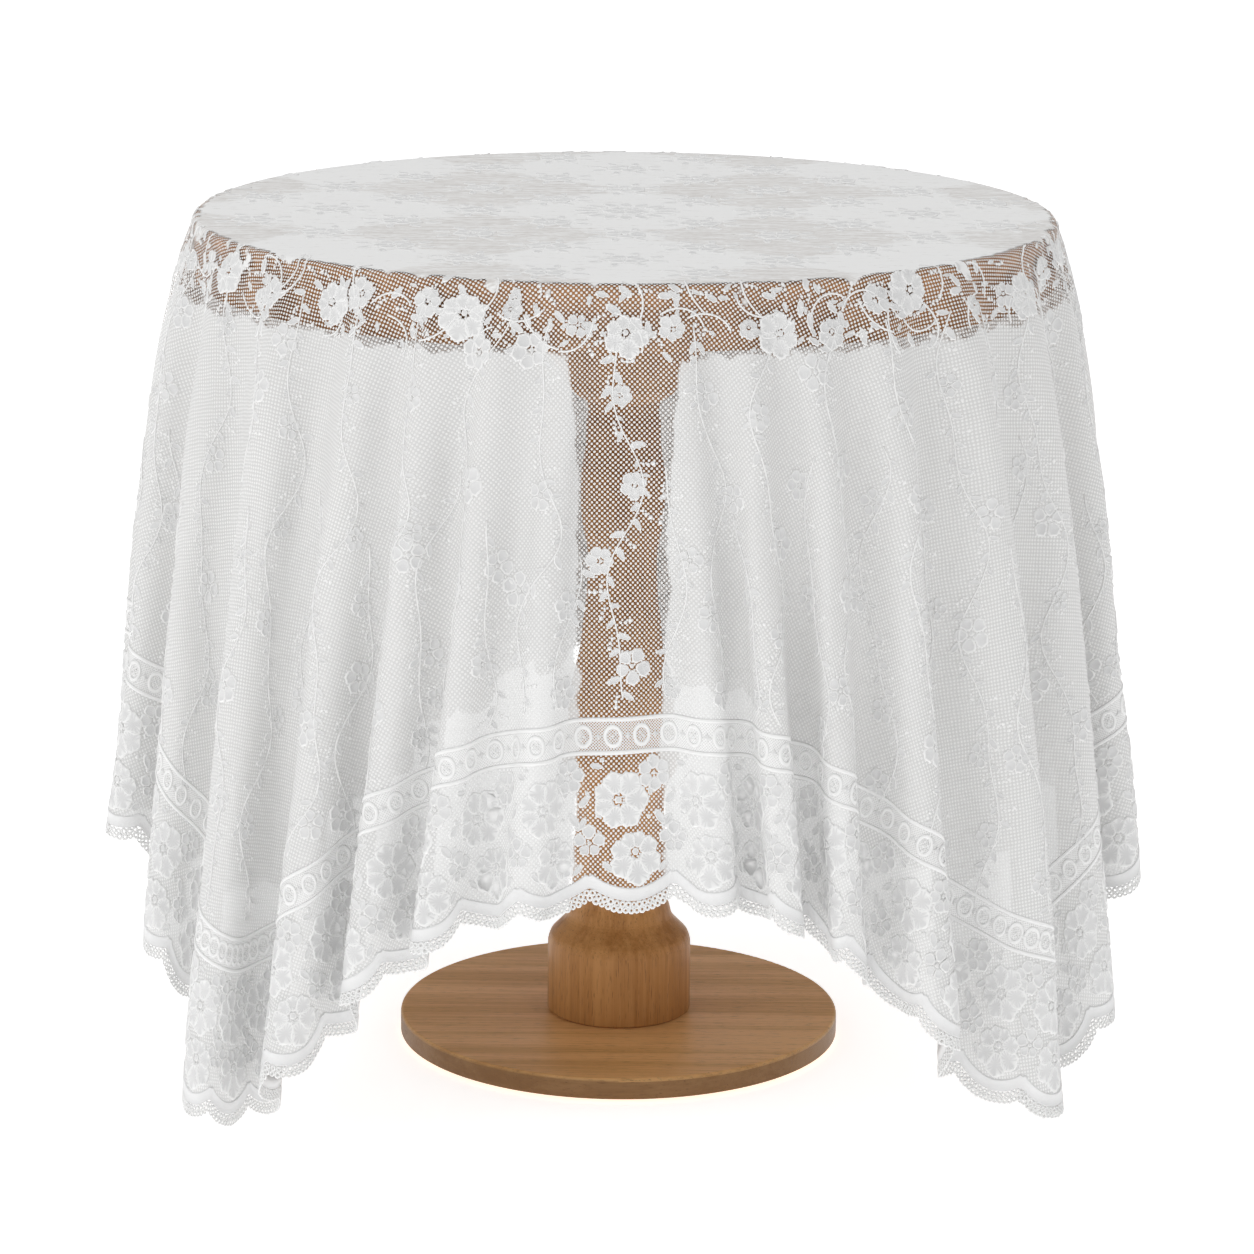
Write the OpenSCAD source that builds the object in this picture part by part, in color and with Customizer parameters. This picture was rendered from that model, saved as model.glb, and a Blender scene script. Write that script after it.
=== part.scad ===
/* [Table] */
// Diameter of the round top
top_d = 762; // [700:1:800]
// Height of the table, floor to top face
table_h = 762; // [740:1:800]
// Thickness of the top panel
panel_t = 28; // [24:1:34]
// Depth of the build-up ring under the panel's edge
ring_t = 26; // [24:1:34]
// Radial width of the build-up ring
ring_w = 60; // [40:1:70]
// Number of glued segments in the build-up ring
ring_segments = 8; // [6:1:12]
// Radius that rounds the panel's upper edge
edge_r = 4; // [2:1:6]

/* [Base] */
// Diameter of the base disc
base_d = 402; // [390:1:460]
// Thickness of the base disc
base_t = 19; // [18:1:26]
// Gap between the base disc and the floor
base_gap = 4; // [4:1:8]
// Radius that rounds the base disc's upper edge
base_edge_r = 3; // [1:1:6]
// Diameter of the steel weight plate
weight_d = 300; // [280:1:316]
// Thickness of the steel weight plate
weight_t = 6; // [4:1:7]

/* [Column] */
// Diameter of the column's foot
foot_d = 131; // [125:1:150]
// Height of the column's foot
foot_h = 94; // [80:1:110]
// Diameter of the capital where it meets the cleats
capital_d = 184; // [160:1:220]
// Height of the capital
capital_h = 114; // [100:1:130]
// Diameter of the tie rod through the column
rod_d = 12; // [10:1:14]

/* [Glides] */
// How far a glide screws out
glide_travel = 6; // [3:1:7]
// Diameter of a glide's pad
pad_d = 28; // [20:1:34]
// Distance from the table's axis to a glide
glide_r = 172; // [168:1:176]

/* [Cloth] */
// Side of the square cloth, laid flat
cloth_side = 1800; // [1700:10:1820]
// Roundness of the cloth's corners, higher is squarer
corner_power = 5.4; // [4:0.1:6]
// How far the cloth's sides are turned from the table's front
cloth_turn = 2.75; // [0:0.25:10]
// Thickness of the cloth's solid
cloth_t = 2.5; // [2:0.5:4]
// Outward lean of the hanging cloth, per unit of drop
lean = 0.094; // [0.09:0.002:0.13]
// Depth of the folds, per unit of drop
fold_depth = 0.056; // [0.03:0.002:0.08]
// Number of folds round the table
folds = 20; // [12:8:28]
// Width of the satin hem tape
tape_w = 11; // [8:1:20]
// Width of the picot edging
picot_w = 11; // [6:1:14]
// Width of the border between the tape and the insertion band
border_w = 116; // [90:1:130]
// Width of the insertion band
band_w = 28; // [20:1:40]

/* [Hidden] */

$fn = 96;
eps = 0.01;

// Gap left for glue or for a sliding fit inside one body
glue = 0.1;

// Levels, floor upwards
foot_z = base_gap + base_t;
shaft_z = foot_z + foot_h;
panel_z = table_h - panel_t;
cleat_z = panel_z - ring_t;
capital_z = cleat_z - capital_h;
shaft_h = capital_z - shaft_z;

// Cleats under the top
cleat_l = 590;
cleat_w = 84;
cleat_t = ring_t;
cleat_bevel = 14;
cleat_screw_r = [90, 240];
cleat_screw_l = 42;

// Tie rod, washers and nuts
rod_hole_d = rod_d + 2;
washer_d = 34;
washer_t = 2.5;
nut_flats = 19;
nut_t = 6.5;
pocket_d = 38;
upper_pocket_h = 11;
lower_pocket_h = 4;
plate_hole_d = 44;
rod_top_z = panel_z - 1;
rod_bottom_z = base_gap + 0.5;
upper_seat_z = panel_z - upper_pocket_h;
lower_seat_z = base_gap + weight_t + lower_pocket_h;

// Joints of the column
tenon_h = 28;
lower_tenon_d = 62;
upper_tenon_d = 42;
dowel_d = 10;
dowel_l = 20;
foot_dowel_r = 48;
capital_dowel_r = 60;

// Glides
glide_count = 4;
glide_start = 45;
pad_t = base_gap - 0.2;
stem_d = 8;
stem_l = 15;
stem_seat = 2.4;
insert_d = 12;
insert_l = 13;
insert_bore_d = stem_d + 0.6;

// Wood screws
screw_d = 5;
screw_head_d = 10;
screw_head_h = 3;
screw_tip_h = 5;
weight_screw_l = 16;
weight_screw_r = 130;
weight_screw_count = 6;

// Cloth
cloth_gap = 0.4;
cloth_bend_r = 5;
cloth_columns = 160;
cloth_turns = 4;
field_rows = 9;
hang_ratio = 0.985;
rim_swell = 4;
rim_swell_h = 12;
corner_upright = 0.03;
corner_calm = 0.25;
cloth_r = top_d / 2 + cloth_gap;
cloth_top_z = table_h + cloth_gap + cloth_t;
skirt_z = cloth_top_z - cloth_bend_r;
corner_reach = pow(2, -1 / corner_power) / cos(45);
tape_at = picot_w;
border_at = tape_at + tape_w;
band_at = border_at + border_w;
field_at = band_at + band_w;

oak = "#8a6138";
dark_oak = "#7c5430";
beech = "#c9a777";
steel = "#b9bcc0";
nylon = "#2c2a28";
lace = "#dcdad7";
heavy_lace = "#e4e2df";
satin = "#cdcdc9";

/* ---------- Turned shapes ---------- */

// Catmull-Rom blend of four values
function blend4(a, b, c, d, t) =
    b + 0.5 * t * (c - a + t * (2 * a - 5 * b + 4 * c - d + t * (3 * (b - c) + d - a)));

// Smooth outline through stations of [height, diameter], as points of [radius, height]
function turned(stations, steps) =
    let (last = len(stations) - 1)
    concat(
        [for (i = [0 : last - 1], k = [0 : steps - 1])
            let (
                before = stations[max(i - 1, 0)],
                here = stations[i],
                next = stations[i + 1],
                after = stations[min(i + 2, last)],
                t = k / steps
            )
            [
                blend4(before[1], here[1], next[1], after[1], t) / 2,
                here[0] + t * (next[0] - here[0])
            ]],
        [[stations[last][1] / 2, stations[last][0]]]
    );

module turning(stations, steps = 3) {
    bottom = stations[0][0];
    top = stations[len(stations) - 1][0];
    rotate_extrude() polygon(concat([[0, bottom]], turned(stations, steps), [[0, top]]));
}

// A disc with a rounded upper edge
module rounded_disc(r, h, round_r) {
    rotate_extrude($fn = 180) {
        square([r, h - round_r]);
        square([r - round_r, h]);
        translate([r - round_r, h - round_r]) circle(r = round_r, $fn = 32);
    }
}

module at_ring(count, radius, start = 0) {
    for (i = [0 : count - 1]) rotate([0, 0, start + i * 360 / count]) translate([radius, 0, 0]) children();
}

/* ---------- Fasteners ---------- */

// Countersunk wood screw, head at z = 0, pointing up
module wood_screw(length, clearance = 0) {
    rotate_extrude($fn = 32) polygon([
        [0, 0],
        [screw_head_d / 2 + clearance, 0],
        [screw_d / 2 + clearance, screw_head_h],
        [screw_d / 2 + clearance, length - screw_tip_h],
        [0, length + clearance]
    ]);
}

module washer(z) {
    translate([0, 0, z]) difference() {
        cylinder(d = washer_d, h = washer_t);
        translate([0, 0, -eps]) cylinder(d = rod_d + 1, h = washer_t + 2 * eps);
    }
}

module nut(z) {
    translate([0, 0, z]) difference() {
        cylinder(d = nut_flats / cos(30), h = nut_t, $fn = 6);
        translate([0, 0, -eps]) cylinder(d = rod_d + glue, h = nut_t + 2 * eps);
    }
}

module dowels(z, radius) {
    at_ring(2, radius) translate([0, 0, z - dowel_l / 2]) cylinder(d = dowel_d, h = dowel_l, $fn = 32);
}

module dowel_holes(z, radius) {
    at_ring(2, radius) translate([0, 0, z - dowel_l / 2 - glue])
        cylinder(d = dowel_d + glue, h = dowel_l + 2 * glue, $fn = 32);
}

module rod_hole() {
    translate([0, 0, -1]) cylinder(d = rod_hole_d, h = table_h - edge_r);
}

module cleat_screw_places() {
    for (r = cleat_screw_r) at_ring(4, r) translate([0, 0, cleat_z]) children();
}

module weight_screw_places() {
    at_ring(weight_screw_count, weight_screw_r) translate([0, 0, base_gap]) children();
}

/* ---------- Table top ---------- */

module top_panel() color(oak) difference() {
    translate([0, 0, panel_z]) rounded_disc(top_d / 2, panel_t, edge_r);
    cleat_screw_places() wood_screw(cleat_screw_l, glue);
}

module edge_ring() color(dark_oak) {
    step = 360 / ring_segments;
    joint = glue / (top_d / 2) * 180 / PI;
    for (i = [0 : ring_segments - 1]) rotate([0, 0, i * step]) translate([0, 0, cleat_z])
        rotate_extrude(angle = step - joint, $fn = 180)
            translate([top_d / 2 - ring_w, 0]) square([ring_w, ring_t]);
}

// Bar with bevelled ends, flat face up
module cleat_bar() {
    l = cleat_l / 2;
    translate([0, cleat_w / 2, cleat_z]) rotate([90, 0, 0]) linear_extrude(cleat_w) polygon([
        [-l, cleat_t],
        [-l, cleat_t - cleat_bevel / 2],
        [-l + cleat_bevel, 0],
        [l - cleat_bevel, 0],
        [l, cleat_t - cleat_bevel / 2],
        [l, cleat_t]
    ]);
}

module cleat_holes() {
    rod_hole();
    translate([0, 0, upper_seat_z]) cylinder(d = pocket_d, h = upper_pocket_h + 1);
    cleat_screw_places() wood_screw(cleat_screw_l, glue);
}

module half_lap(z) {
    translate([-cleat_w / 2 - glue, -cleat_w / 2 - 1, z])
        cube([cleat_w + 2 * glue, cleat_w + 2, cleat_t / 2 + 1]);
}

module cleat_lower() color(beech) difference() {
    cleat_bar();
    half_lap(cleat_z + cleat_t / 2);
    cleat_holes();
    dowel_holes(cleat_z, capital_dowel_r);
}

module cleat_upper() color(beech) difference() {
    rotate([0, 0, 90]) cleat_bar();
    rotate([0, 0, 90]) half_lap(cleat_z - 1);
    cleat_holes();
}

module cleat_screws() color(steel) cleat_screw_places() wood_screw(cleat_screw_l);

/* ---------- Column ---------- */

module column_foot() color(oak) difference() {
    rise = foot_h - 29;
    translate([0, 0, foot_z]) turning([
        [0, foot_d - 4],
        [1.5, foot_d],
        [rise / 2, foot_d],
        [rise, foot_d],
        [rise + 8, foot_d - 5],
        [rise + 14, foot_d - 16],
        [rise + 22, foot_d - 31],
        [foot_h, foot_d - 37]
    ]);
    rod_hole();
    translate([0, 0, shaft_z - tenon_h - 0.5]) cylinder(d = lower_tenon_d + glue, h = tenon_h + 1);
    dowel_holes(foot_z, foot_dowel_r);
}

module column_shaft() color(oak) difference() {
    union() {
        translate([0, 0, shaft_z]) turning([
            [0, 94],
            [10, 89],
            [28, 87],
            [60, 86],
            [74, 82],
            [92, 80],
            [110, 81],
            [122, 87],
            [133, 100],
            [143, 107],
            [154, 105],
            [165, 100],
            [180, 96],
            [199, 96],
            [218, 89],
            [250, 75],
            [276, 70],
            [293, 65],
            [330, 62],
            [345, 65],
            [358, 71],
            [377, 75],
            [413, 75],
            [424, 71],
            [438, 67],
            [456, 67],
            [467, 63],
            [shaft_h, 66]
        ]);
        translate([0, 0, shaft_z - tenon_h]) cylinder(d = lower_tenon_d, h = tenon_h + 1);
        translate([0, 0, capital_z - 1]) cylinder(d = upper_tenon_d, h = tenon_h + 1);
    }
    rod_hole();
}

module column_capital() color(oak) difference() {
    translate([0, 0, capital_z]) turning([
        [0, 67],
        [3, 78],
        [7, 89],
        [14, 100],
        [23, 108],
        [40, 133],
        [57, 153],
        [76, capital_d - 15],
        [96, capital_d - 4],
        [108, capital_d],
        [capital_h, capital_d]
    ]);
    rod_hole();
    translate([0, 0, capital_z - 1]) cylinder(d = upper_tenon_d + glue, h = tenon_h + 1.5);
    dowel_holes(cleat_z, capital_dowel_r);
}

module foot_dowels() color(beech) dowels(foot_z, foot_dowel_r);

module capital_dowels() color(beech) dowels(cleat_z, capital_dowel_r);

module tie_rod() color(steel) translate([0, 0, rod_bottom_z]) cylinder(d = rod_d, h = rod_top_z - rod_bottom_z);

module upper_washer() color(steel) washer(upper_seat_z);

module upper_nut() color(steel) nut(upper_seat_z + washer_t);

module lower_washer() color(steel) washer(lower_seat_z - washer_t);

module lower_nut() color(steel) nut(lower_seat_z - washer_t - nut_t);

/* ---------- Base ---------- */

module base_disc() color(oak) difference() {
    translate([0, 0, base_gap]) rounded_disc(base_d / 2, base_t, base_edge_r);
    rod_hole();
    translate([0, 0, base_gap - 1]) cylinder(d = weight_d + 2 * glue, h = weight_t + 1);
    translate([0, 0, base_gap - 1]) cylinder(d = pocket_d, h = weight_t + lower_pocket_h + 1);
    weight_screw_places() wood_screw(weight_screw_l, glue);
    dowel_holes(foot_z, foot_dowel_r);
    at_ring(glide_count, glide_r, glide_start) {
        translate([0, 0, base_gap - 1]) cylinder(d = insert_d + glue, h = insert_l + 1);
        translate([0, 0, base_gap]) cylinder(d = insert_bore_d, h = insert_l + 2);
    }
}

module weight_plate() color(dark_oak) difference() {
    translate([0, 0, base_gap]) cylinder(d = weight_d, h = weight_t, $fn = 180);
    translate([0, 0, base_gap - eps]) cylinder(d = plate_hole_d, h = weight_t + 2 * eps);
    weight_screw_places() wood_screw(weight_screw_l, glue);
}

module weight_screws() color(steel) weight_screw_places() wood_screw(weight_screw_l);

module glide_inserts() color(steel) at_ring(glide_count, glide_r, glide_start)
    translate([0, 0, base_gap]) difference() {
        cylinder(d = insert_d, h = insert_l);
        translate([0, 0, -eps]) cylinder(d = insert_bore_d, h = insert_l + 2 * eps);
    }

module at_glide(i) {
    rotate([0, 0, glide_start + (i - 1) * 360 / glide_count]) translate([glide_r, 0, 0]) children();
}

module glide_stem(i) color(steel) at_glide(i) translate([0, 0, pad_t - stem_seat])
    cylinder(d = stem_d, h = stem_l);

module glide_pad(i) color(nylon) at_glide(i) difference() {
    rotate_extrude() polygon([
        [0, 0],
        [pad_d / 2 - 0.8, 0],
        [pad_d / 2, 0.8],
        [pad_d / 2, pad_t - 0.8],
        [pad_d / 2 - 0.8, pad_t],
        [0, pad_t]
    ]);
    translate([0, 0, pad_t - stem_seat]) cylinder(d = stem_d, h = stem_seat + 1);
}

/* ---------- Cloth ---------- */

// Distance from the cloth's middle to its edge, in the direction a from one side's middle
function reach(a) =
    cloth_side / 2 / pow(pow(abs(cos(a)), corner_power) + pow(abs(sin(a)), corner_power), 1 / corner_power);

// 0 at the middle of a side, 1 at a corner
function cornered(a) = (reach(a) * 2 / cloth_side - 1) / (corner_reach - 1);

// Length of cloth that hangs below the table's edge
function hang(a) = reach(a) - cloth_r;

// How far the cloth stands out from the table's edge at the drop h
function stand_out(a, h) =
    let (
        c = cornered(a),
        steep = lean - corner_upright * c,
        depth = fold_depth * (1 - corner_calm * c)
    )
    rim_swell * (1 - exp(-h / rim_swell_h)) + h * (steep - depth * cos(folds * a));

// Point of the skirt at the length s below the table's edge, inset 0 outside and 1 inside
function skirt_point(a, s, inset) =
    let (
        h = s * hang_ratio,
        r = cloth_r + cloth_t * (1 - inset) + stand_out(a, h),
        turned_by = a + cloth_turn
    )
    [r * cos(turned_by), r * sin(turned_by), skirt_z - h];

// Point of the rounded edge, e from 0 on the flat top to 90 at the skirt
function edge_point(a, e, inset) =
    let (
        bend = cloth_bend_r - cloth_t * inset,
        r = cloth_r + cloth_t - cloth_bend_r + bend * sin(e),
        turned_by = a + cloth_turn
    )
    [r * cos(turned_by), r * sin(turned_by), skirt_z + bend * cos(e)];

function column_angle(i) = i * 360 / cloth_columns;

// Rows of points from the hem offset high to the hem offset low
function strip_points(high, low, rows, inset) =
    [for (j = [0 : rows], i = [0 : cloth_columns - 1])
        let (a = column_angle(i))
        skirt_point(a, hang(a) - high + (high - low) * j / rows, inset)];

// Two triangles for each cell between the rows from and to, outward when flip is false
function band_faces(start, rows, flip) =
    [for (j = [0 : rows - 1], i = [0 : cloth_columns - 1])
        let (
            n = cloth_columns,
            k = (i + 1) % n,
            p = start + j * n + i,
            q = start + j * n + k,
            r = start + (j + 1) * n + k,
            s = start + (j + 1) * n + i
        )
        each flip ? [[p, s, q], [q, s, r]] : [[p, q, s], [q, r, s]]];

// Triangles between an outer row and an inner row
function rim_faces(outer, inner, flip) =
    [for (i = [0 : cloth_columns - 1])
        let (
            k = (i + 1) % cloth_columns,
            p = outer + i,
            q = outer + k,
            r = inner + k,
            s = inner + i
        )
        each flip ? [[p, r, q], [p, s, r]] : [[p, q, r], [p, r, s]]];

// A ring of cloth between two distances from the hem
module cloth_strip(high, low, rows) {
    side = (rows + 1) * cloth_columns;
    foot = rows * cloth_columns;
    polyhedron(
        points = concat(strip_points(high, low, rows, 0), strip_points(high, low, rows, 1)),
        faces = concat(
            band_faces(0, rows, false),
            band_faces(side, rows, true),
            rim_faces(0, side, true),
            rim_faces(foot, side + foot, false)
        )
    );
}

function field_points(inset) =
    concat(
        [for (t = [0 : cloth_turns - 1], i = [0 : cloth_columns - 1])
            edge_point(column_angle(i), 90 * t / cloth_turns, inset)],
        [for (j = [0 : field_rows], i = [0 : cloth_columns - 1])
            let (a = column_angle(i))
            skirt_point(a, (hang(a) - field_at) * j / field_rows, inset)]
    );

module lace_field() color(lace) {
    rows = cloth_turns + field_rows;
    side = (rows + 1) * cloth_columns;
    foot = rows * cloth_columns;
    poles = [[0, 0, cloth_top_z], [0, 0, cloth_top_z - cloth_t]];
    polyhedron(
        points = concat(field_points(0), field_points(1), poles),
        faces = concat(
            band_faces(0, rows, false),
            band_faces(side, rows, true),
            rim_faces(foot, side + foot, false),
            [for (i = [0 : cloth_columns - 1]) [2 * side, (i + 1) % cloth_columns, i]],
            [for (i = [0 : cloth_columns - 1]) [2 * side + 1, side + i, side + (i + 1) % cloth_columns]]
        )
    );
}

module insertion_band() color(heavy_lace) cloth_strip(field_at, band_at, 1);

module border_flounce() color(lace) cloth_strip(band_at, border_at, 3);

module hem_tape() color(satin) cloth_strip(border_at, tape_at, 1);

module picot_edging() color(heavy_lace) cloth_strip(tape_at, 0, 1);

/* ---------- Assembly ---------- */

top_panel();
edge_ring();
cleat_lower();
cleat_upper();
cleat_screws();
column_foot();
column_shaft();
column_capital();
foot_dowels();
capital_dowels();
tie_rod();
upper_washer();
upper_nut();
lower_washer();
lower_nut();
base_disc();
weight_plate();
weight_screws();
glide_inserts();
for (i = [1 : glide_count]) {
    glide_stem(i);
    glide_pad(i);
}
lace_field();
insertion_band();
border_flounce();
hem_tape();
picot_edging();
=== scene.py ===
"""A white lace tablecloth draped over a round oak pedestal table."""

import logging
import math
from dataclasses import dataclass, field
from enum import Enum
from typing import Callable, Optional, Sequence

import bpy
import numpy as np
from mathutils import Matrix, Vector


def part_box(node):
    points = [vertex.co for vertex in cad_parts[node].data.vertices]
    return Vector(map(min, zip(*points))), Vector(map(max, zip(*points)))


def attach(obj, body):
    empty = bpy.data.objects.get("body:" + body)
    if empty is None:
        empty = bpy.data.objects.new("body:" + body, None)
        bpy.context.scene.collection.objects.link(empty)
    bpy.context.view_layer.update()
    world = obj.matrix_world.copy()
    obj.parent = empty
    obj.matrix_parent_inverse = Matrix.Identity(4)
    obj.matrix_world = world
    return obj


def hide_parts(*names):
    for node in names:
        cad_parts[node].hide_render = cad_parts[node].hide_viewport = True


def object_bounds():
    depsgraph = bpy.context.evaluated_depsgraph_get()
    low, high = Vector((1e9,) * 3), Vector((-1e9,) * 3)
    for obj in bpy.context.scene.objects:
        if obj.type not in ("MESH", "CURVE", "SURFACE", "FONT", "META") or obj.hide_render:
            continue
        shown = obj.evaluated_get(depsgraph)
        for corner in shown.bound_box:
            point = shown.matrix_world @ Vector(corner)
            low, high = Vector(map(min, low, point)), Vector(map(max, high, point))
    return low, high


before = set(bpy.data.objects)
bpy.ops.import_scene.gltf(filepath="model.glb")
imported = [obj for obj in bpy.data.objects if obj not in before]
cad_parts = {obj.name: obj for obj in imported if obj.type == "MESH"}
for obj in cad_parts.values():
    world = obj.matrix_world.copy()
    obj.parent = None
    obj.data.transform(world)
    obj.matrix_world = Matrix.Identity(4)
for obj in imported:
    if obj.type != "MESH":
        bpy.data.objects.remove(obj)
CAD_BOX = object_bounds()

logging.basicConfig(level=logging.INFO, format="%(name)s: %(message)s")
LOG = logging.getLogger("tablecloth")

Array = np.ndarray
Socket = bpy.types.NodeSocket
SEED = 7
MM = 0.001


# ---------------------------------------------------------------- meshes


@dataclass
class Shape:
    """Points and faces of a small model or of a whole piece.

    Args:
        points: Array of n rows of x, y, z.
        faces: Lists of point numbers, each turning left seen from outside.
        tint: One value a point, which a finish may read.
    """

    points: Array
    faces: list
    tint: Optional[Array] = None

    def moved(self, turn: float, size: float, x: float, y: float, lift: float = 0.0) -> "Shape":
        """Returns a copy turned about Z, then scaled in the plane, then shifted."""
        c, s = math.cos(turn) * size, math.sin(turn) * size
        points = self.points.copy()
        points[:, 0] = c * self.points[:, 0] - s * self.points[:, 1] + x
        points[:, 1] = s * self.points[:, 0] + c * self.points[:, 1] + y
        points[:, 2] += lift
        return Shape(points, self.faces, self.tint)


class Heap:
    """Collects many shapes, which then make one mesh."""

    def __init__(self) -> None:
        """Starts empty."""
        self.points: list = []
        self.faces: list = []
        self.tints: list = []
        self.count = 0

    def add(self, shape: Shape) -> None:
        """Puts one shape on the heap."""
        self.points.append(shape.points)
        self.faces.extend([[k + self.count for k in face] for face in shape.faces])
        tint = np.zeros(len(shape.points)) if shape.tint is None else shape.tint
        self.tints.append(tint)
        self.count += len(shape.points)

    def shape(self) -> Shape:
        """Returns all of it as one shape."""
        return Shape(np.concatenate(self.points), self.faces, np.concatenate(self.tints))


def deselect() -> None:
    """Leaves nothing selected, so that an operator acts only on what comes next."""
    for item in bpy.context.selected_objects:
        item.select_set(False)


def build(name: str, shape: Shape, uv: Optional[Array] = None) -> bpy.types.Object:
    """Makes a smooth mesh object.

    Args:
        name: The piece's name.
        shape: Its points, faces and tints.
        uv: One row of u, v a point, kept as the map called flat.

    Returns:
        The new object, at the origin.
    """
    mesh = bpy.data.meshes.new(name)
    mesh.from_pydata(shape.points.tolist(), [], shape.faces)
    mesh.polygons.foreach_set("use_smooth", [True] * len(mesh.polygons))
    corners = np.zeros(len(mesh.loops), dtype=np.int64)
    mesh.loops.foreach_get("vertex_index", corners)
    if uv is not None:
        layer = mesh.uv_layers.new(name="flat")
        layer.data.foreach_set("uv", uv[corners].astype(np.float32).ravel())
    if shape.tint is not None:
        tint = mesh.attributes.new("tint", "FLOAT", "POINT")
        tint.data.foreach_set("value", shape.tint.astype(np.float32))
    mesh.update()
    item = bpy.data.objects.new(name, mesh)
    bpy.context.scene.collection.objects.link(item)
    return item


def beside(u: float, v: float, angle: float, distance: float) -> tuple:
    """Returns the place at a distance from u, v in the direction of an angle."""
    return u + distance * math.cos(angle), v + distance * math.sin(angle)


def at_azimuth(azimuth: float, radius: float) -> tuple:
    """Returns the flat place at a radius, in the direction of an azimuth from the front."""
    return radius * math.sin(azimuth), -radius * math.cos(azimuth)


def grid_faces(rows: int, columns: int) -> list:
    """Faces of a grid of points, row by row, that closes on itself sideways."""
    faces = []
    for j in range(rows - 1):
        for i in range(columns):
            k = (i + 1) % columns
            faces.append([j * columns + i, j * columns + k, (j + 1) * columns + k, (j + 1) * columns + i])
    return faces


# ---------------------------------------------------------------- the cloth's drape


class Meander:
    """The curve of one fold, whose direction swings as a sine along its length."""

    def __init__(self, steps: int = 96, swings: int = 160, widest: float = 2.1) -> None:
        """Tabulates the curve for swings from 0 to widest, in radians."""
        self.swings = np.linspace(0.0, widest, swings)
        self.along = np.linspace(0.0, 1.0, steps + 1)
        angle = self.swings[:, None] * np.sin(2 * math.pi * self.along)
        self.across = self._sum(np.cos(angle))
        self.out = self._sum(np.sin(angle))
        self.span = self.across[:, -1].copy()
        self.across /= self.span[:, None]
        self.out /= self.span[:, None]

    @staticmethod
    def _sum(values: Array) -> Array:
        """Returns the running integral of each row over a length of 1."""
        middle = (values[:, 1:] + values[:, :-1]) / 2
        start = np.zeros((len(values), 1))
        return np.concatenate([start, np.cumsum(middle, axis=1)], axis=1) / (values.shape[1] - 1)

    def swing_for(self, ratio: Array) -> Array:
        """Returns the swing at which the chord is ratio times the length."""
        return np.interp(-ratio, -self.span, self.swings)

    def at(self, swing: Array, along: Array) -> tuple:
        """Returns how far across and out the curve is, as parts of its chord."""
        a = np.clip(swing / self.swings[-1], 0, 1) * (len(self.swings) - 1.001)
        b = np.clip(along, 0, 1) * (len(self.along) - 1.001)
        i, j = a.astype(int), b.astype(int)
        a, b = a - i, b - j
        found = []
        for table in (self.across, self.out):
            near = table[i, j] * (1 - b) + table[i, j + 1] * b
            far = table[i + 1, j] * (1 - b) + table[i + 1, j + 1] * b
            found.append(near * (1 - a) + far * a)
        return found[0], found[1]


# Each fold: where its crest leaves the rim, in degrees from the front; how far it drifts on the way
# to the hem; its depth, 1 where it takes up all of the spare cloth; how far below the rim it starts, in mm
FOLDS = (
    (-44.5, -2.2, 0.80, 12), (-31.0, -4.2, 0.92, 30), (-22.5, -5.2, 0.92, 16), (-14.0, -6.3, 0.98, 34),
    (-6.0, -7.4, 0.92, 20), (0.1, 0.2, 0.35, 60), (6.2, 6.9, 0.92, 26), (14.2, 5.6, 0.95, 16),
    (23.0, 4.2, 0.98, 40), (32.0, 2.6, 0.92, 18), (44.0, 0.4, 0.82, 12), (60.0, -0.5, 0.80, 24),
    (73.0, 0.8, 1.0, 16), (84.0, -0.8, 0.92, 34), (94.5, 0.6, 1.0, 20), (105.0, -0.4, 0.95, 40),
    (115.5, 0.5, 0.9, 18), (126.0, 0.8, 0.80, 26), (140.0, 1.0, 0.80, 12), (153.5, -0.8, 0.85, 24),
    (164.0, 0.5, 1.0, 40), (174.0, -0.3, 0.9, 18), (184.5, 0.4, 1.0, 30), (195.0, -0.5, 0.95, 14),
    (205.5, 0.6, 0.95, 26), (216.0, 0.8, 0.85, 36), (229.5, -1.0, 0.80, 12), (243.0, 0.6, 0.85, 22),
    (253.5, -0.5, 1.0, 34), (264.0, 0.4, 0.9, 18), (274.5, 0.5, 1.0, 26), (285.5, -0.4, 1.0, 16),
    (298.0, 0.2, 0.78, 24),
)

# How many points the flat cloth's outline is measured at
OUTLINE_POINTS = 7201

# The waves that roughen the folds: turns round the table, radians a metre down, and phase
RIPPLES = ((13, 9.0, 0.4), (23, -14.0, 2.1), (37, 11.0, 4.0), (53, -21.0, 1.2), (71, 26.0, 5.3))


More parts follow.
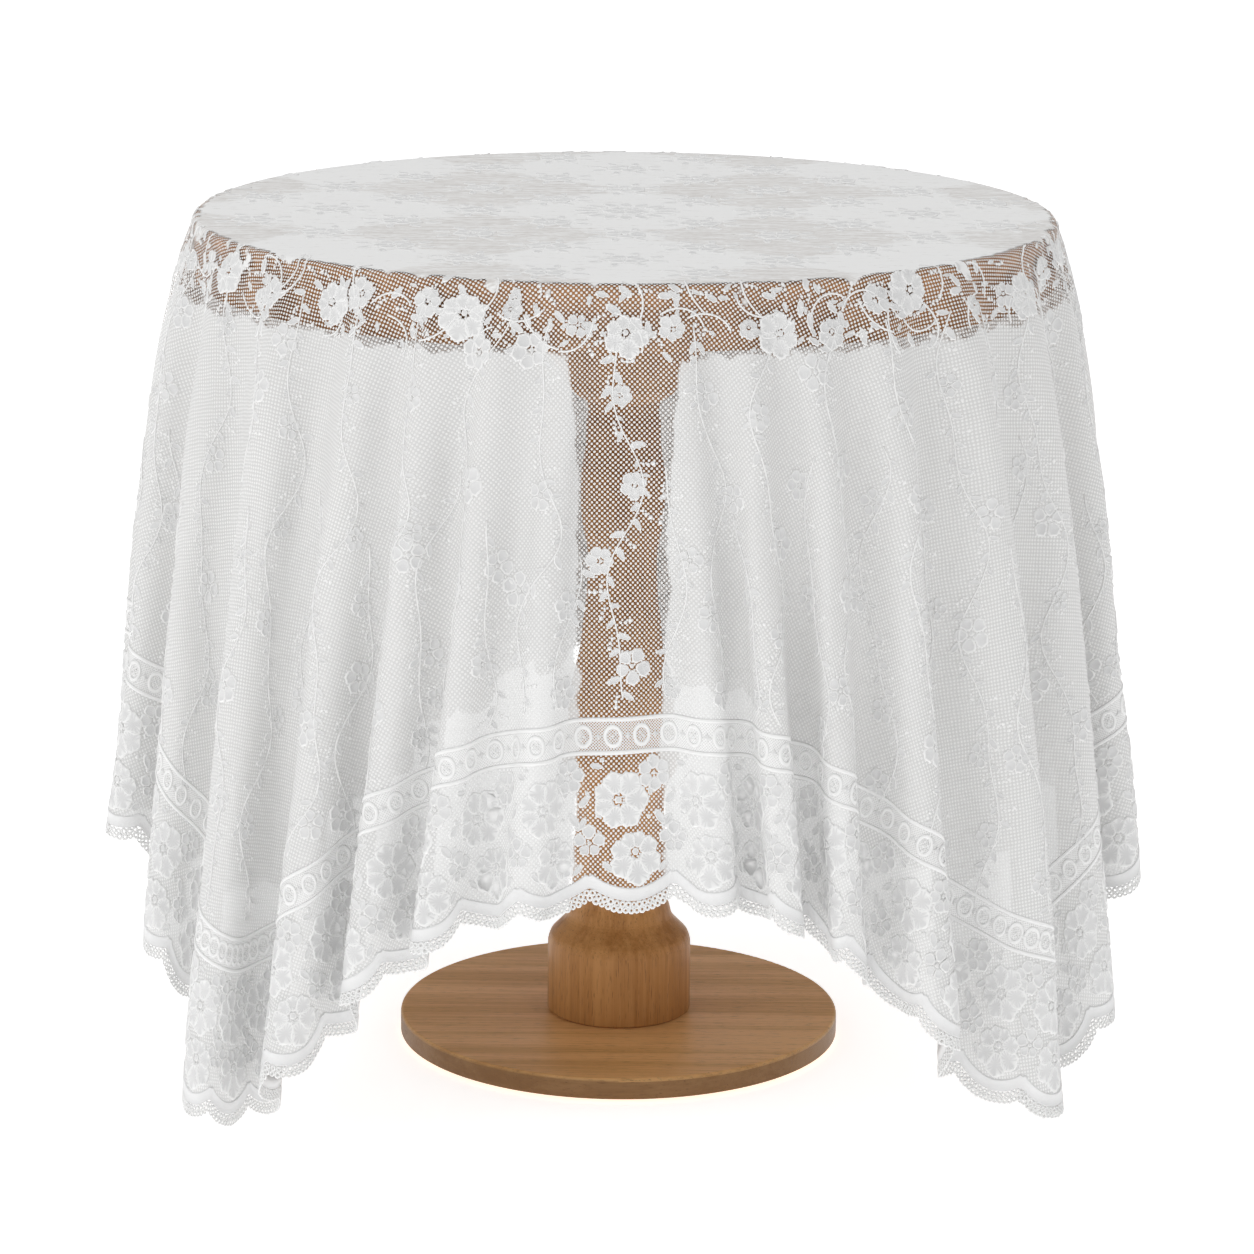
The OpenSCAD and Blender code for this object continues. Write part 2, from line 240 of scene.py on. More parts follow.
@dataclass
class Drape:
    """How a square cloth with round corners hangs from a round table top, in metres.

    Points of the flat cloth are u to the right and v to the back, from its middle.

    Args:
        rim: Radius at which the cloth hangs past the top.
        top: Height at which it lies on the top.
        half_side: Half the flat cloth's side.
        corner_power: How square its corners are.
        turn: How far it is turned on the table.
        bend: Radius of the bend over the rim.
        lean: How far a side leans out, as a part of its length.
        corner_lean: How much more a corner leans out.
        swell: How far the cloth stands off just under the rim.
        swell_drop: How far down it takes to stand off so.
        ripple: Height of the small waves.
        drift_length: Length of cloth over which a fold drifts by its stated angle.
        sway: How far a fold's crest leans to one side, as a part of its depth.
        columns: Columns of the table of places.
        row_step: Length of cloth from one row of the table to the next.
        longest: Length of cloth that the table covers.
        meander: The curve of a fold.
    """

    rim: float
    top: float
    half_side: float = 0.902
    corner_power: float = 5.4
    turn: float = math.radians(2.75)
    bend: float = 0.006
    lean: float = 0.024
    corner_lean: float = 0.050
    swell: float = 0.008
    swell_drop: float = 0.06
    ripple: float = 0.0035
    drift_length: float = 0.6
    sway: float = 0.3
    columns: int = 1440
    row_step: float = 0.004
    longest: float = 0.80
    meander: Meander = field(default_factory=Meander)

    def __post_init__(self) -> None:
        """Works out the hanging surface and the hem's outline."""
        self.flat_rim = self.rim - self.bend
        self._tabulate()
        self._outline()

    def reach(self, azimuth: Array) -> Array:
        """Returns how far the flat cloth's edge is from its middle."""
        c = np.abs(np.cos(azimuth - self.turn)) ** self.corner_power
        s = np.abs(np.sin(azimuth - self.turn)) ** self.corner_power
        return self.half_side / (c + s) ** (1 / self.corner_power)

    def _tabulate(self) -> None:
        """Fills the table of places and normals, one row a step down from the end of the bend."""
        hung = np.arange(0.0, self.longest, self.row_step)
        azimuth = np.linspace(-math.pi, math.pi, self.columns, endpoint=False)
        radius, theta = self._folded(azimuth, hung)
        x = radius * np.sin(theta)
        y = -radius * np.cos(theta)
        aside = np.diff(x, axis=0) ** 2 + np.diff(y, axis=0) ** 2
        least = (0.3 * self.row_step) ** 2
        down = np.sqrt(np.maximum(self.row_step**2 - aside, least))
        start = np.full((1, self.columns), self.top - self.bend)
        z = start - np.concatenate([np.zeros((1, self.columns)), np.cumsum(down, axis=0)])
        self.places = np.stack([x, y, z], axis=-1)
        sideways = np.roll(self.places, -1, axis=1) - np.roll(self.places, 1, axis=1)
        normal = np.cross(np.gradient(self.places, axis=0), sideways)
        self.normals = normal / np.linalg.norm(normal, axis=-1, keepdims=True)

    def _folded(self, azimuth: Array, hung: Array) -> tuple:
        """Returns the radius and the azimuth of every point of the folded skirt.

        Args:
            azimuth: Where each column leaves the rim.
            hung: Length of cloth below the rim, one value a row.
        """
        listed = np.array(FOLDS)
        crest, drift = np.radians(listed[:, 0]), np.radians(listed[:, 1])
        depth, start = listed[:, 2], listed[:, 3] * MM
        crests = crest + drift * hung[:, None] / self.drift_length
        before = np.concatenate([crests[:, -1:] - 2 * math.pi, crests], axis=1)
        troughs = (before[:, 1:] + before[:, :-1]) / 2
        troughs = np.concatenate([troughs, troughs[:, :1] + 2 * math.pi], axis=1)
        at_rim = troughs[0]
        wrapped = np.mod(azimuth - at_rim[0], 2 * math.pi) + at_rim[0]
        fold = np.clip(np.searchsorted(at_rim, wrapped, side="right") - 1, 0, len(crest) - 1)
        cut = at_rim[fold + 1] - at_rim[fold]
        along = (wrapped - at_rim[fold]) / cut
        width = troughs[:, fold + 1] - troughs[:, fold]
        corner = self.reach(np.array(math.pi / 4 + self.turn))
        longer = (self.reach(azimuth) - self.half_side) / (corner - self.half_side)
        lean = self.lean + self.corner_lean * longer
        swell = self.swell * (1 - np.exp(-hung / self.swell_drop))
        inner = self.rim + swell[:, None] + lean[None, :] * hung[:, None]
        ratio = inner * width / ((self.rim + hung[:, None]) * cut[None, :])
        starts = hung[:, None] / (hung[:, None] + start[fold][None, :])
        swing = self.meander.swing_for(np.clip(ratio, 0.3, 1.0)) * depth[fold][None, :] * starts
        across, out = self.meander.at(swing, np.broadcast_to(along, swing.shape))
        sway = self.sway * np.sin(5.1 * fold + 1.3)[None, :]
        ripple = self._ripple(azimuth[None, :], hung[:, None])
        radius = inner + inner * width * out + ripple
        theta = troughs[:, fold] + width * across + sway * width * out
        return radius, theta

    def _ripple(self, azimuth: Array, hung: Array) -> Array:
        """Returns small uneven waves that make no two folds alike, growing down from the rim."""
        total = np.zeros(np.broadcast(azimuth, hung).shape)
        for around, down, phase in RIPPLES:
            total += np.sin(around * azimuth + down * hung + phase)
        return self.ripple * (0.5 + 0.5 * total / 2.2) * np.minimum(hung / 0.15, 1.0)

    def _outline(self) -> None:
        """Measures along the flat cloth's outline."""
        azimuth = np.linspace(-math.pi, math.pi, OUTLINE_POINTS)
        reach = self.reach(azimuth)
        u, v = reach * np.sin(azimuth), -reach * np.cos(azimuth)
        step = np.hypot(np.diff(u), np.diff(v))
        self.edge_at = np.concatenate([[0.0], np.cumsum(step)])
        self.perimeter = float(self.edge_at[-1])
        tangent_u, tangent_v = np.gradient(u, self.edge_at), np.gradient(v, self.edge_at)
        self.edge = np.stack([u, v, tangent_u, tangent_v])

    def flat_area(self) -> float:
        """Returns the area of the flat cloth."""
        azimuth = np.linspace(-math.pi, math.pi, OUTLINE_POINTS)
        return float(np.trapz(self.reach(azimuth) ** 2 / 2, azimuth))

    def from_hem(self, along: Array, inward: Array) -> tuple:
        """Returns the flat place that is along the outline and inward from it."""
        q = np.mod(along, self.perimeter)
        u, v, tangent_u, tangent_v = (np.interp(q, self.edge_at, row) for row in self.edge)
        return u - tangent_v * inward, v + tangent_u * inward

    def facing(self, along: float) -> float:
        """Returns the flat angle that points out of the hem, from +u towards +v."""
        q = along % self.perimeter
        tangent_u, tangent_v = (np.interp(q, self.edge_at, row) for row in self.edge[2:])
        return math.atan2(-tangent_u, tangent_v)

    def place(self, u: Array, v: Array, off: Array) -> Array:
        """Returns where flat points of the cloth are, off metres out from its surface."""
        rho = np.hypot(u, v)
        azimuth = np.arctan2(u, -v)
        arc = np.clip((rho - self.flat_rim) / self.bend, 0.0, math.pi / 2)
        a = (azimuth + math.pi) / (2 * math.pi) * self.columns
        hung = rho - self.flat_rim - self.bend * math.pi / 2
        b = np.clip(hung / self.row_step, 0, len(self.places) - 1.001)
        i, j = np.floor(a).astype(int), b.astype(int)
        a, b = (a - i)[:, None], (b - j)[:, None]
        i, k = i % self.columns, (i + 1) % self.columns
        found = []
        for table in (self.places, self.normals):
            upper = table[j, i] * (1 - a) + table[j, k] * a
            lower = table[j + 1, i] * (1 - a) + table[j + 1, k] * a
            found.append(upper * (1 - b) + lower * b)
        spot, normal = found
        bent = hung <= 0
        reach = np.minimum(rho, self.flat_rim) + self.bend * np.sin(arc)
        outward = np.stack([u, v]) / rho.clip(1e-9)
        over = np.stack([*(outward * reach), self.top - self.bend * (1 - np.cos(arc))], -1)
        up = np.stack([*(outward * np.sin(arc)), np.cos(arc)], -1)
        spot[bent], normal[bent] = over[bent], up[bent]
        return spot + normal * np.asarray(off)[:, None]

    def wrap(self, shape: Shape) -> Shape:
        """Returns a flat shape, its Z taken as height over the cloth, laid on the cloth."""
        p = shape.points
        return Shape(self.place(p[:, 0], p[:, 1], p[:, 2]), shape.faces, shape.tint)


# ---------------------------------------------------------------- motifs


def hand_made(name: str, shape_it: Callable[[], None]) -> Shape:
    """Models a small pattern with edit-mode operators and returns its points and faces.

    Args:
        name: Name of the pattern while it is being made.
        shape_it: Adds a primitive and shapes it. The mesh is read when it ends.
    """
    deselect()
    shape_it()
    item = bpy.context.object
    item.name = name
    mesh = item.data
    points = np.zeros(len(mesh.vertices) * 3)
    mesh.vertices.foreach_get("co", points)
    tint = np.zeros(len(mesh.vertices))
    if "tint" in mesh.attributes:
        mesh.attributes["tint"].data.foreach_get("value", tint)
    faces = [list(face.vertices) for face in mesh.polygons]
    bpy.data.objects.remove(item)
    bpy.data.meshes.remove(mesh)
    return Shape(points.reshape(-1, 3), faces, tint)


@dataclass(frozen=True)
class Relief:
    """An embroidered shape: a raised cord round a lower middle.

    Args:
        count: Number of points round it.
        border: Width of the cord, as a part of the way from the outline to its middle.
        edge: Height of the cord, in metres.
        inside: Height of the middle.
        back: Height of its back.
        rib: How far every other spoke of the middle is raised.
    """

    count: int
    border: float
    edge: float = 1.0 * MM
    inside: float = 0.5 * MM
    back: float = -0.2 * MM
    rib: float = 0.0

    def maker(self, outline: Callable[[float], tuple]) -> Callable[[], None]:
        """Returns what models the shape inside an outline, which gives x, y for a turn from 0 to 1."""

        def make() -> None:
            """Adds a disc, moves its rim to the outline, insets the cord and closes the back."""
            bpy.ops.mesh.primitive_circle_add(vertices=self.count, radius=1.0, fill_type="NGON")
            item = bpy.context.object
            corners = [outline(i / self.count) for i in range(self.count)]
            for vertex, corner in zip(item.data.vertices, corners):
                vertex.co.x, vertex.co.y = corner
            middle = tuple(np.mean(corners, axis=0)) + (0.0,)
            bpy.ops.object.mode_set(mode="EDIT")
            bpy.ops.mesh.select_all(action="SELECT")
            bpy.ops.mesh.normals_make_consistent(inside=False)
            self._shrink(self.border * 0.45, middle)
            bpy.ops.transform.translate(value=(0.0, 0.0, self.edge))
            self._shrink(self.border * 0.55, middle)
            bpy.ops.transform.translate(value=(0.0, 0.0, self.inside - self.edge))
            bpy.ops.mesh.poke()
            bpy.ops.mesh.select_all(action="DESELECT")
            bpy.ops.mesh.select_non_manifold(extend=False, use_boundary=True)
            bpy.ops.mesh.extrude_region_move(TRANSFORM_OT_translate={"value": (0.0, 0.0, self.back)})
            bpy.ops.mesh.edge_face_add()
            bpy.ops.mesh.select_all(action="SELECT")
            bpy.ops.mesh.normals_make_consistent(inside=False)
            bpy.ops.object.mode_set(mode="OBJECT")
            # The tint marks the lower middle, which the embroidery paints greyer as painted shade; the
            # raised ribs get less of it, so they read lighter.
            tint = item.data.attributes.new("tint", "FLOAT", "POINT")
            inner = [v for v in item.data.vertices if abs(v.co.z - self.inside) < 0.01 * MM]
            for i, vertex in enumerate(inner):
                raised = i % 2 == 0 and i < len(inner) - 1
                tint.data[vertex.index].value = 0.45 if raised and self.rib else 1.0
                vertex.co.z += self.rib if raised else 0.0

        return make

    @staticmethod
    def _shrink(share: float, middle: tuple) -> None:
        """Insets the selected face a little and then draws it in towards the middle."""
        bpy.ops.mesh.inset(thickness=0.001, depth=0.0, use_even_offset=False, use_boundary=True)
        bpy.ops.transform.resize(value=(1 - share, 1 - share, 1.0), center_override=middle)


def petal_outline(turn: float) -> tuple:
    """A fan petal, its tip towards +X with three frills, its root near the middle."""
    angle = 2 * math.pi * turn
    across = math.sin(angle)
    inner = (1 - math.cos(angle)) / 2
    frill = 0.05 * math.cos(6 * angle) * (1 - inner) ** 0.5
    length = 1.0 - 0.8 * inner + frill
    width = 0.46 * math.copysign(abs(across) ** 0.8, across) * (1 - 0.5 * inner**1.5)
    return length, width


def leaf_outline(turn: float) -> tuple:
    """A pointed leaf along +X, from its stalk at 0 to its tip at 1."""
    angle = 2 * math.pi * turn
    along = (1 + math.cos(angle)) / 2
    width = 0.23 * math.sin(angle) * (1.15 - 0.4 * along)
    return along, width


def disc_outline(turn: float) -> tuple:
    """A round dot of radius 1."""
    angle = 2 * math.pi * turn
    return math.cos(angle), math.sin(angle)


def star_outline(turn: float) -> tuple:
    """A four-pointed star of radius 1."""
    angle = 2 * math.pi * turn
    radius = 0.68 + 0.32 * math.cos(4 * angle)
    return radius * math.cos(angle), radius * math.sin(angle)


class Patterns:
    """The small shapes that the lace repeats, each modelled once at a length or radius of 1.

    A shape is scaled in the plane only, so its heights stay in metres.
    """

    def __init__(self) -> None:
        """Models each pattern."""
        self.petal = hand_made("petal", Relief(24, 0.24, rib=0.3 * MM).maker(petal_outline))
        self.small_petal = hand_made("small_petal", Relief(12, 0.34).maker(petal_outline))
        self.leaf = hand_made("leaf", Relief(8, 0.34, edge=0.9 * MM).maker(leaf_outline))
        self.dot = hand_made("dot", Relief(6, 0.5, edge=0.8 * MM, inside=0.9 * MM).maker(disc_outline))
        self.seed = hand_made("seed", self._seed)
        self.star = hand_made("star", Relief(8, 0.4, edge=0.8 * MM, inside=0.9 * MM).maker(star_outline))
        self.ring = hand_made("ring", lambda: self._ring(20, 6, 0.2))
        self.loop = hand_made("loop", lambda: self._ring(8, 4, 0.36))

    @staticmethod
    def _seed() -> None:
        """Models a small blunt dot of radius 1."""
        high, sunk = 1.1 * MM, 0.2 * MM
        bpy.ops.mesh.primitive_cone_add(
            vertices=6, radius1=1.0, radius2=0.5, depth=high, location=(0.0, 0.0, high / 2 - sunk)
        )

    @staticmethod
    def _ring(around: int, section: int, cord: float) -> None:
        """Models a ring of outer radius 1.

        Args:
            around: Segments round the ring.
            section: Segments round its cord.
            cord: Radius of the cord.
        """
        bpy.ops.mesh.primitive_torus_add(
            major_segments=around, minor_segments=section, major_radius=1 - cord, minor_radius=cord
        )
        bpy.ops.object.mode_set(mode="EDIT")
        bpy.ops.mesh.select_all(action="SELECT")
        bpy.ops.transform.resize(value=(1.0, 1.0, 0.9 * MM / cord))
        bpy.ops.object.mode_set(mode="OBJECT")


# The section of a round cord that lies on the cloth: how far aside, as parts of half its width, and how
# high, as parts of its height
CORD_SECTION = ((1.0, 0.0), (0.6, 0.8), (0.0, 1.0), (-0.6, 0.8), (-1.0, 0.0), (0.0, -0.2))


def sweep(path: Array, width: float, high: float, closed: bool = False) -> Shape:
    """A cord on the cloth along a flat path.

    Args:
        path: Flat points u, v.
        width: The cord's width.
        high: Height of its crest.
        closed: True if it joins its own start.

    Returns:
        The flat cord, its Z taken as height over the cloth.
    """
    if closed:
        tangent = np.roll(path, -1, axis=0) - np.roll(path, 1, axis=0)
    else:
        tangent = np.gradient(path, axis=0)
    tangent /= np.maximum(np.linalg.norm(tangent, axis=1, keepdims=True), 1e-9)
    side = np.stack([-tangent[:, 1], tangent[:, 0]], axis=1) * width / 2
    count, sides = len(path), len(CORD_SECTION)
    rings = [
        np.column_stack([path + side * aside, np.full(count, high * up)]) for aside, up in CORD_SECTION
    ]
    points = np.stack(rings, axis=1).reshape(-1, 3)
    faces = []
    for i in range(count if closed else count - 1):
        k = (i + 1) % count
        for j in range(sides):
            m = (j + 1) % sides
            faces.append([i * sides + j, i * sides + m, k * sides + m, k * sides + j])
    if not closed:
        faces.append(list(range(sides))[::-1])
        faces.append([(count - 1) * sides + j for j in range(sides)])
    return Shape(points, faces)


@dataclass(frozen=True)
class Flower:
    """A flower of one ring of petals round a dotted eye.

    Args:
        radius: From the middle to the petal tips, in metres.
        petals: Number of petals.
        uneven: How much longer the petals are on the side it faces.
        fine: True for petals with frilled, finely drawn edges.
    """

    radius: float
    petals: int
    uneven: float = 0.0
    fine: bool = True

    def draw(self, heap: Heap, patterns: Patterns, u: float, v: float, facing: float) -> None:
        """Puts the flower's shapes on the heap, flat, centred on u, v."""
        petal = patterns.petal if self.fine else patterns.small_petal
        for k in range(self.petals):
            angle = facing + 2 * math.pi * k / self.petals
            size = self.radius * (1 - self.uneven / 2 + self.uneven / 2 * math.cos(angle - facing))
            heap.add(petal.moved(angle, size, u, v, lift=k % 3 * 0.12 * MM))
        eye, over = self.radius * 0.12, 0.3 * MM
        heap.add(patterns.dot.moved(0.0, eye, u, v, over))
        if self.fine:
            for k in range(6):
                angle = facing + math.pi / 6 + math.pi / 3 * k
                place = beside(u, v, angle, self.radius * 0.2)
                heap.add(patterns.dot.moved(angle, eye * 0.45, *place, over))


@dataclass
class Band:
    """Places along the hem, as distances in from the scallops' lowest points, in metres.

    Args:
        scallops: Number of scallops round the cloth.
        scallop_depth: Depth of a scallop.
        picot: Width of the picot edging.
        tape: Width of the satin tape.
        border: Width of the border above the tape.
        band: Width of the insertion band above the border.
        cord: Width of the band's cords.
        start: Where along the outline the first scallop starts.
    """

    scallops: int = 84
    scallop_depth: float = 12 * MM
    picot: float = 11 * MM
    tape: float = 11 * MM
    border: float = 116 * MM
    band: float = 28 * MM
    cord: float = 4.0 * MM
    start: float = -26 * MM

    def hem(self, part: Array) -> Array:
        """Returns how far the hem is drawn in at each part of a scallop, in scallops."""
        return self.scallop_depth * (1 - np.abs(np.sin(math.pi * part)) ** 0.8)

    def inward(self, part: Array, level: Array, pitch: float) -> Array:
        """Returns the distance in of a line that keeps level metres from the hem's edge."""
        step = 0.01
        slope = (self.hem(part + step) - self.hem(part - step)) / (2 * step * pitch)
        return self.hem(part) + level * np.sqrt(1 + np.minimum(np.abs(slope), 0.9) ** 2)

    @property
    def lower_cord(self) -> float:
        """Where the insertion band's lower cord runs."""
        return self.picot + self.tape + self.border

    @property
    def upper_cord(self) -> float:
        """Where the insertion band's upper cord runs."""
        return self.lower_cord + self.band


# ---------------------------------------------------------------- finishes


class Nodes:
    """A node tree that is written one node a line."""

    def __init__(self, tree: bpy.types.NodeTree) -> None:
        """Takes an empty or a fresh tree."""
        self.tree = tree

    def add(self, kind: str, values: Optional[dict] = None, **settings: object) -> bpy.types.Node:
        """Adds a node.

        Args:
            kind: Its type, without the ShaderNode in front.
            values: Inputs by name or number: a value, or a socket to link from.
            settings: The node's own settings.
        """
        node = self.tree.nodes.new("ShaderNode" + kind if not kind.startswith("NodeGroup") else kind)
        for key, value in settings.items():
            setattr(node, key, value)
        for key, value in (values or {}).items():
            self.feed(node.inputs[key], value)
        return node

    def feed(self, socket: Socket, value: object) -> None:
        """Sets an input to a value or links it."""
        if isinstance(value, bpy.types.NodeSocket):
            self.tree.links.new(value, socket)
        else:
            socket.default_value = value

    def sum(self, operation: str, a: object, b: object = 0.0, clamp: bool = False) -> Socket:
        """Returns the output of a Math node."""
        return self.add("Math", {0: a, 1: b}, operation=operation, use_clamp=clamp).outputs[0]

    def range(self, value: object, low: float, high: float, to_low: float, to_high: float) -> Socket:
        """Returns a value mapped smoothly from one range to another."""
        values = {"Value": value, "From Min": low, "From Max": high, "To Min": to_low, "To Max": to_high}
        return self.add("MapRange", values, interpolation_type="SMOOTHSTEP").outputs[0]

    def mix(self, factor: object, a: object, b: object) -> Socket:
        """Returns a mix of two colours."""
        node = self.add("Mix", data_type="RGBA")
        self.feed(node.inputs[0], factor)
        self.feed(node.inputs[6], a)
        self.feed(node.inputs[7], b)
        return node.outputs[2]

    def blend(self, factor: object, a: object, b: object) -> Socket:
        """Returns a mix of two values."""
        node = self.add("Mix", data_type="FLOAT")
        for key, value in enumerate((factor, None, a, b)):
            if value is not None:
                self.feed(node.inputs[key], value)
        return node.outputs[0]

    def noise(self, vector: object, scale: float, detail: float = 2.0, rough: float = 0.5) -> Socket:
        """Returns the value of a Noise texture."""
        values = {"Vector": vector, "Scale": scale, "Detail": detail, "Roughness": rough}
        return self.add("TexNoise", values).outputs[0]

    def streaks(self, vector: object, scale: tuple, detail: float, rough: float = 0.5) -> Socket:
        """Returns the value of a Noise texture with its own scale along each axis."""
        stretched = self.add("Mapping", {"Vector": vector, "Scale": scale}).outputs[0]
        return self.noise(stretched, 1.0, detail, rough)

    def parts(self, vector: object) -> Sequence[Socket]:
        """Returns a vector's x, y and z."""
        return self.add("SeparateXYZ", {0: vector}).outputs

    def sway(self, value: object, width: float) -> Socket:
        """Returns a value that runs from 0 to 1 as one that runs to both sides of 0, over a width."""
        return self.sum("MULTIPLY", self.sum("SUBTRACT", value, 0.5), width)


class Group(Enum):
    """The shader node groups that several finishes share."""

    NET = "net"
    TWIST = "twist"
    GRAIN = "grain"
    HANDLING = "handling"


def new_group(group: Group, inputs: dict, outputs: dict) -> tuple:
    """Starts a node group.

    Args:
        group: Which one.
        inputs: Socket kinds by name, with a default value each.
        outputs: Socket kinds by name.

    Returns:
        Its Nodes, its input node and its output node.
    """
    tree = bpy.data.node_groups.new(group.value, "ShaderNodeTree")
    for name, (kind, value) in inputs.items():
        socket = tree.interface.new_socket(name, in_out="INPUT", socket_type="NodeSocket" + kind)
        if value is not None:
            socket.default_value = value
    for name, kind in outputs.items():
        tree.interface.new_socket(name, in_out="OUTPUT", socket_type="NodeSocket" + kind)
    nodes = Nodes(tree)
    return nodes, nodes.add("NodeGroupInput").outputs, nodes.add("NodeGroupOutput").inputs


def make_net_group() -> None:
    """Knotted net: round-cornered holes on a diagonal lattice, with uneven threads."""
    inputs = {"Vector": ("Vector", None), "Pitch": ("Float", 0.0037), "Closeness": ("Float", 0.05)}
    nodes, given, put = new_group(Group.NET, inputs, {"Thread": "Float", "Height": "Float"})
    wander = nodes.noise(given["Vector"], 60.0, 2.0)
    uneven = nodes.sway(wander, 0.0022)
    shifted = nodes.add("VectorMath", {0: given["Vector"], 1: uneven}, operation="ADD").outputs[0]
    place = nodes.parts(shifted)
    waves = []
    for axis in (0, 1):
        turns = nodes.sum("DIVIDE", place[axis], given["Pitch"])
        waves.append(nodes.sum("COSINE", nodes.sum("MULTIPLY", turns, 2 * math.pi)))
    lattice = nodes.sum("MULTIPLY", waves[0], waves[1])
    over = nodes.sum("SUBTRACT", given["Closeness"], lattice)
    edge = nodes.sum("MULTIPLY", over, 6.0)
    thread = nodes.sum("ADD", edge, 0.5, clamp=True)
    nodes.feed(put["Thread"], thread)
    nodes.feed(put["Height"], nodes.sum("MULTIPLY", over, 1.0, clamp=True))


def make_twist_group() -> None:
    """Twisted cotton: fine slanted strands and a slight soft unevenness."""
    inputs = {"Vector": ("Vector", None), "Strand": ("Float", 0.0006)}
    nodes, given, put = new_group(Group.TWIST, inputs, {"Height": "Float", "Shade": "Float"})
    place = nodes.parts(given["Vector"])
    slant = nodes.sum("ADD", place[0], nodes.sum("MULTIPLY", place[1], 0.45))
    slant = nodes.sum("ADD", slant, nodes.sum("MULTIPLY", place[2], 0.8))
    turns = nodes.sum("DIVIDE", slant, given["Strand"])
    fuzz = nodes.noise(given["Vector"], 900.0, 3.0, 0.7)
    bent = nodes.sum("ADD", turns, nodes.sum("MULTIPLY", fuzz, 1.6))
    strand = nodes.sum("SINE", nodes.sum("MULTIPLY", bent, 2 * math.pi))
    nodes.feed(put["Height"], nodes.sum("ADD", nodes.sum("MULTIPLY", strand, 0.35), fuzz))
    nodes.feed(put["Shade"], nodes.noise(given["Vector"], 35.0, 2.0))


def make_grain_group() -> None:
    """Wood: long wavering bands of early and late wood, darker flecks and open pores."""
    inputs = {
        "Vector": ("Vector", None),
        "Light": ("Color", (0.5, 0.3, 0.15, 1)),
        "Dark": ("Color", (0.3, 0.15, 0.06, 1)),
        "Pores": ("Float", 1.0),
    }
    outputs = {"Color": "Color", "Roughness": "Float", "Height": "Float"}
    nodes, given, put = new_group(Group.GRAIN, inputs, outputs)
    bend = nodes.streaks(given["Vector"], (1.5, 6.0, 6.0), 3.0)
    band = nodes.streaks(given["Vector"], (1.2, 34.0, 34.0), 4.0, 0.6)
    line = nodes.streaks(given["Vector"], (5.0, 260.0, 260.0), 3.0, 0.65)
    pore = nodes.streaks(given["Vector"], (60.0, 1300.0, 1300.0), 2.0, 0.5)
    flecks = nodes.streaks(given["Vector"], (9.0, 90.0, 90.0), 2.0)
    fleck = nodes.range(flecks, 0.62, 0.74, 0.0, 1.0)
    open_pore = nodes.sum("MULTIPLY", nodes.range(pore, 0.60, 0.70, 0.0, 1.0), given["Pores"], clamp=True)
    tone = nodes.sum("ADD", nodes.sum("MULTIPLY", band, 0.62), nodes.sum("MULTIPLY", line, 0.38))
    tone = nodes.sum("ADD", tone, nodes.sway(bend, 0.5))
    base = nodes.mix(nodes.range(tone, 0.36, 0.66, 0.0, 1.0), given["Dark"], given["Light"])
    deep = nodes.mix(nodes.sum("MULTIPLY", fleck, 0.35), base, given["Dark"])
    shade = nodes.mix(nodes.sum("MULTIPLY", open_pore, 0.55), deep, (0.07, 0.03, 0.012, 1))
    nodes.feed(put["Color"], shade)
    nodes.feed(put["Roughness"], nodes.range(tone, 0.3, 0.7, 0.5, 0.36))
    lines = nodes.sum("MULTIPLY", line, 0.4)
    nodes.feed(put["Height"], nodes.sum("SUBTRACT", lines, nodes.sum("MULTIPLY", open_pore, 0.8)))


def make_handling_group() -> None:
    """The marks of handling on a hard finish: faint smears in the gloss and a slight speckle."""
    inputs = {"Vector": ("Vector", None), "Gloss": ("Float", 0.4), "Smear": ("Float", 0.15)}
    outputs = {"Roughness": "Float", "Height": "Float", "Shade": "Float"}
    nodes, given, put = new_group(Group.HANDLING, inputs, outputs)
    smear = nodes.streaks(given["Vector"], (14.0, 55.0, 30.0), 4.0, 0.6)
    speckle = nodes.noise(given["Vector"], 1500.0, 2.0)
    dulled = nodes.sum("MULTIPLY", smear, given["Smear"])
    nodes.feed(put["Roughness"], nodes.sum("ADD", given["Gloss"], dulled))
    nodes.feed(put["Height"], speckle)
    nodes.feed(put["Shade"], smear)


class Finish:
    """A material under construction: its nodes, its shader and the usual coordinates."""

    def __init__(self, name: str) -> None:
        """Starts a material with only a Principled shader."""
        self.material = bpy.data.materials.new(name)
        self.material.use_nodes = True
        tree = self.material.node_tree
        tree.nodes.clear()
        self.nodes = Nodes(tree)
        self.shader = self.nodes.add("BsdfPrincipled")
        output = self.nodes.add("OutputMaterial")
        tree.links.new(self.shader.outputs[0], output.inputs[0])

    def object_place(self) -> Socket:
        """Returns the place in the object's own coordinates, in metres."""
        return self.nodes.add("TexCoord").outputs["Object"]

    def flat_place(self) -> Socket:
        """Returns the place on the flat cloth, in metres from its middle."""
        uv = self.nodes.add("UVMap", uv_map="flat").outputs[0]
        moved = self.nodes.add("VectorMath", {0: uv, 1: (0.5, 0.5, 0.0)}, operation="SUBTRACT").outputs[0]
        return self.nodes.add("VectorMath", {0: moved, "Scale": 2.0}, operation="SCALE").outputs[0]

    def tint(self) -> Socket:
        """Returns the mesh's own tint value."""
        return self.nodes.add("Attribute", attribute_name="tint").outputs["Fac"]

    def group(self, group: Group, values: dict) -> bpy.types.Node:
        """Places a shared group."""
        node = self.nodes.add("Group")
        node.node_tree = bpy.data.node_groups[group.value]
        for key, value in values.items():
            self.nodes.feed(node.inputs[key], value)
        return node

    def put(self, **values: object) -> None:
        """Sets or links the shader's inputs, with _ in a name for a space."""
        for key, value in values.items():
            self.nodes.feed(self.shader.inputs[key.replace("_", " ")], value)

    def bump(self, height: Socket, distance: float, strength: float = 1.0) -> None:
        """Adds a bump of a distance in metres."""
        values = {"Height": height, "Distance": distance, "Strength": strength}
        self.put(Normal=self.nodes.add("Bump", values).outputs[0])


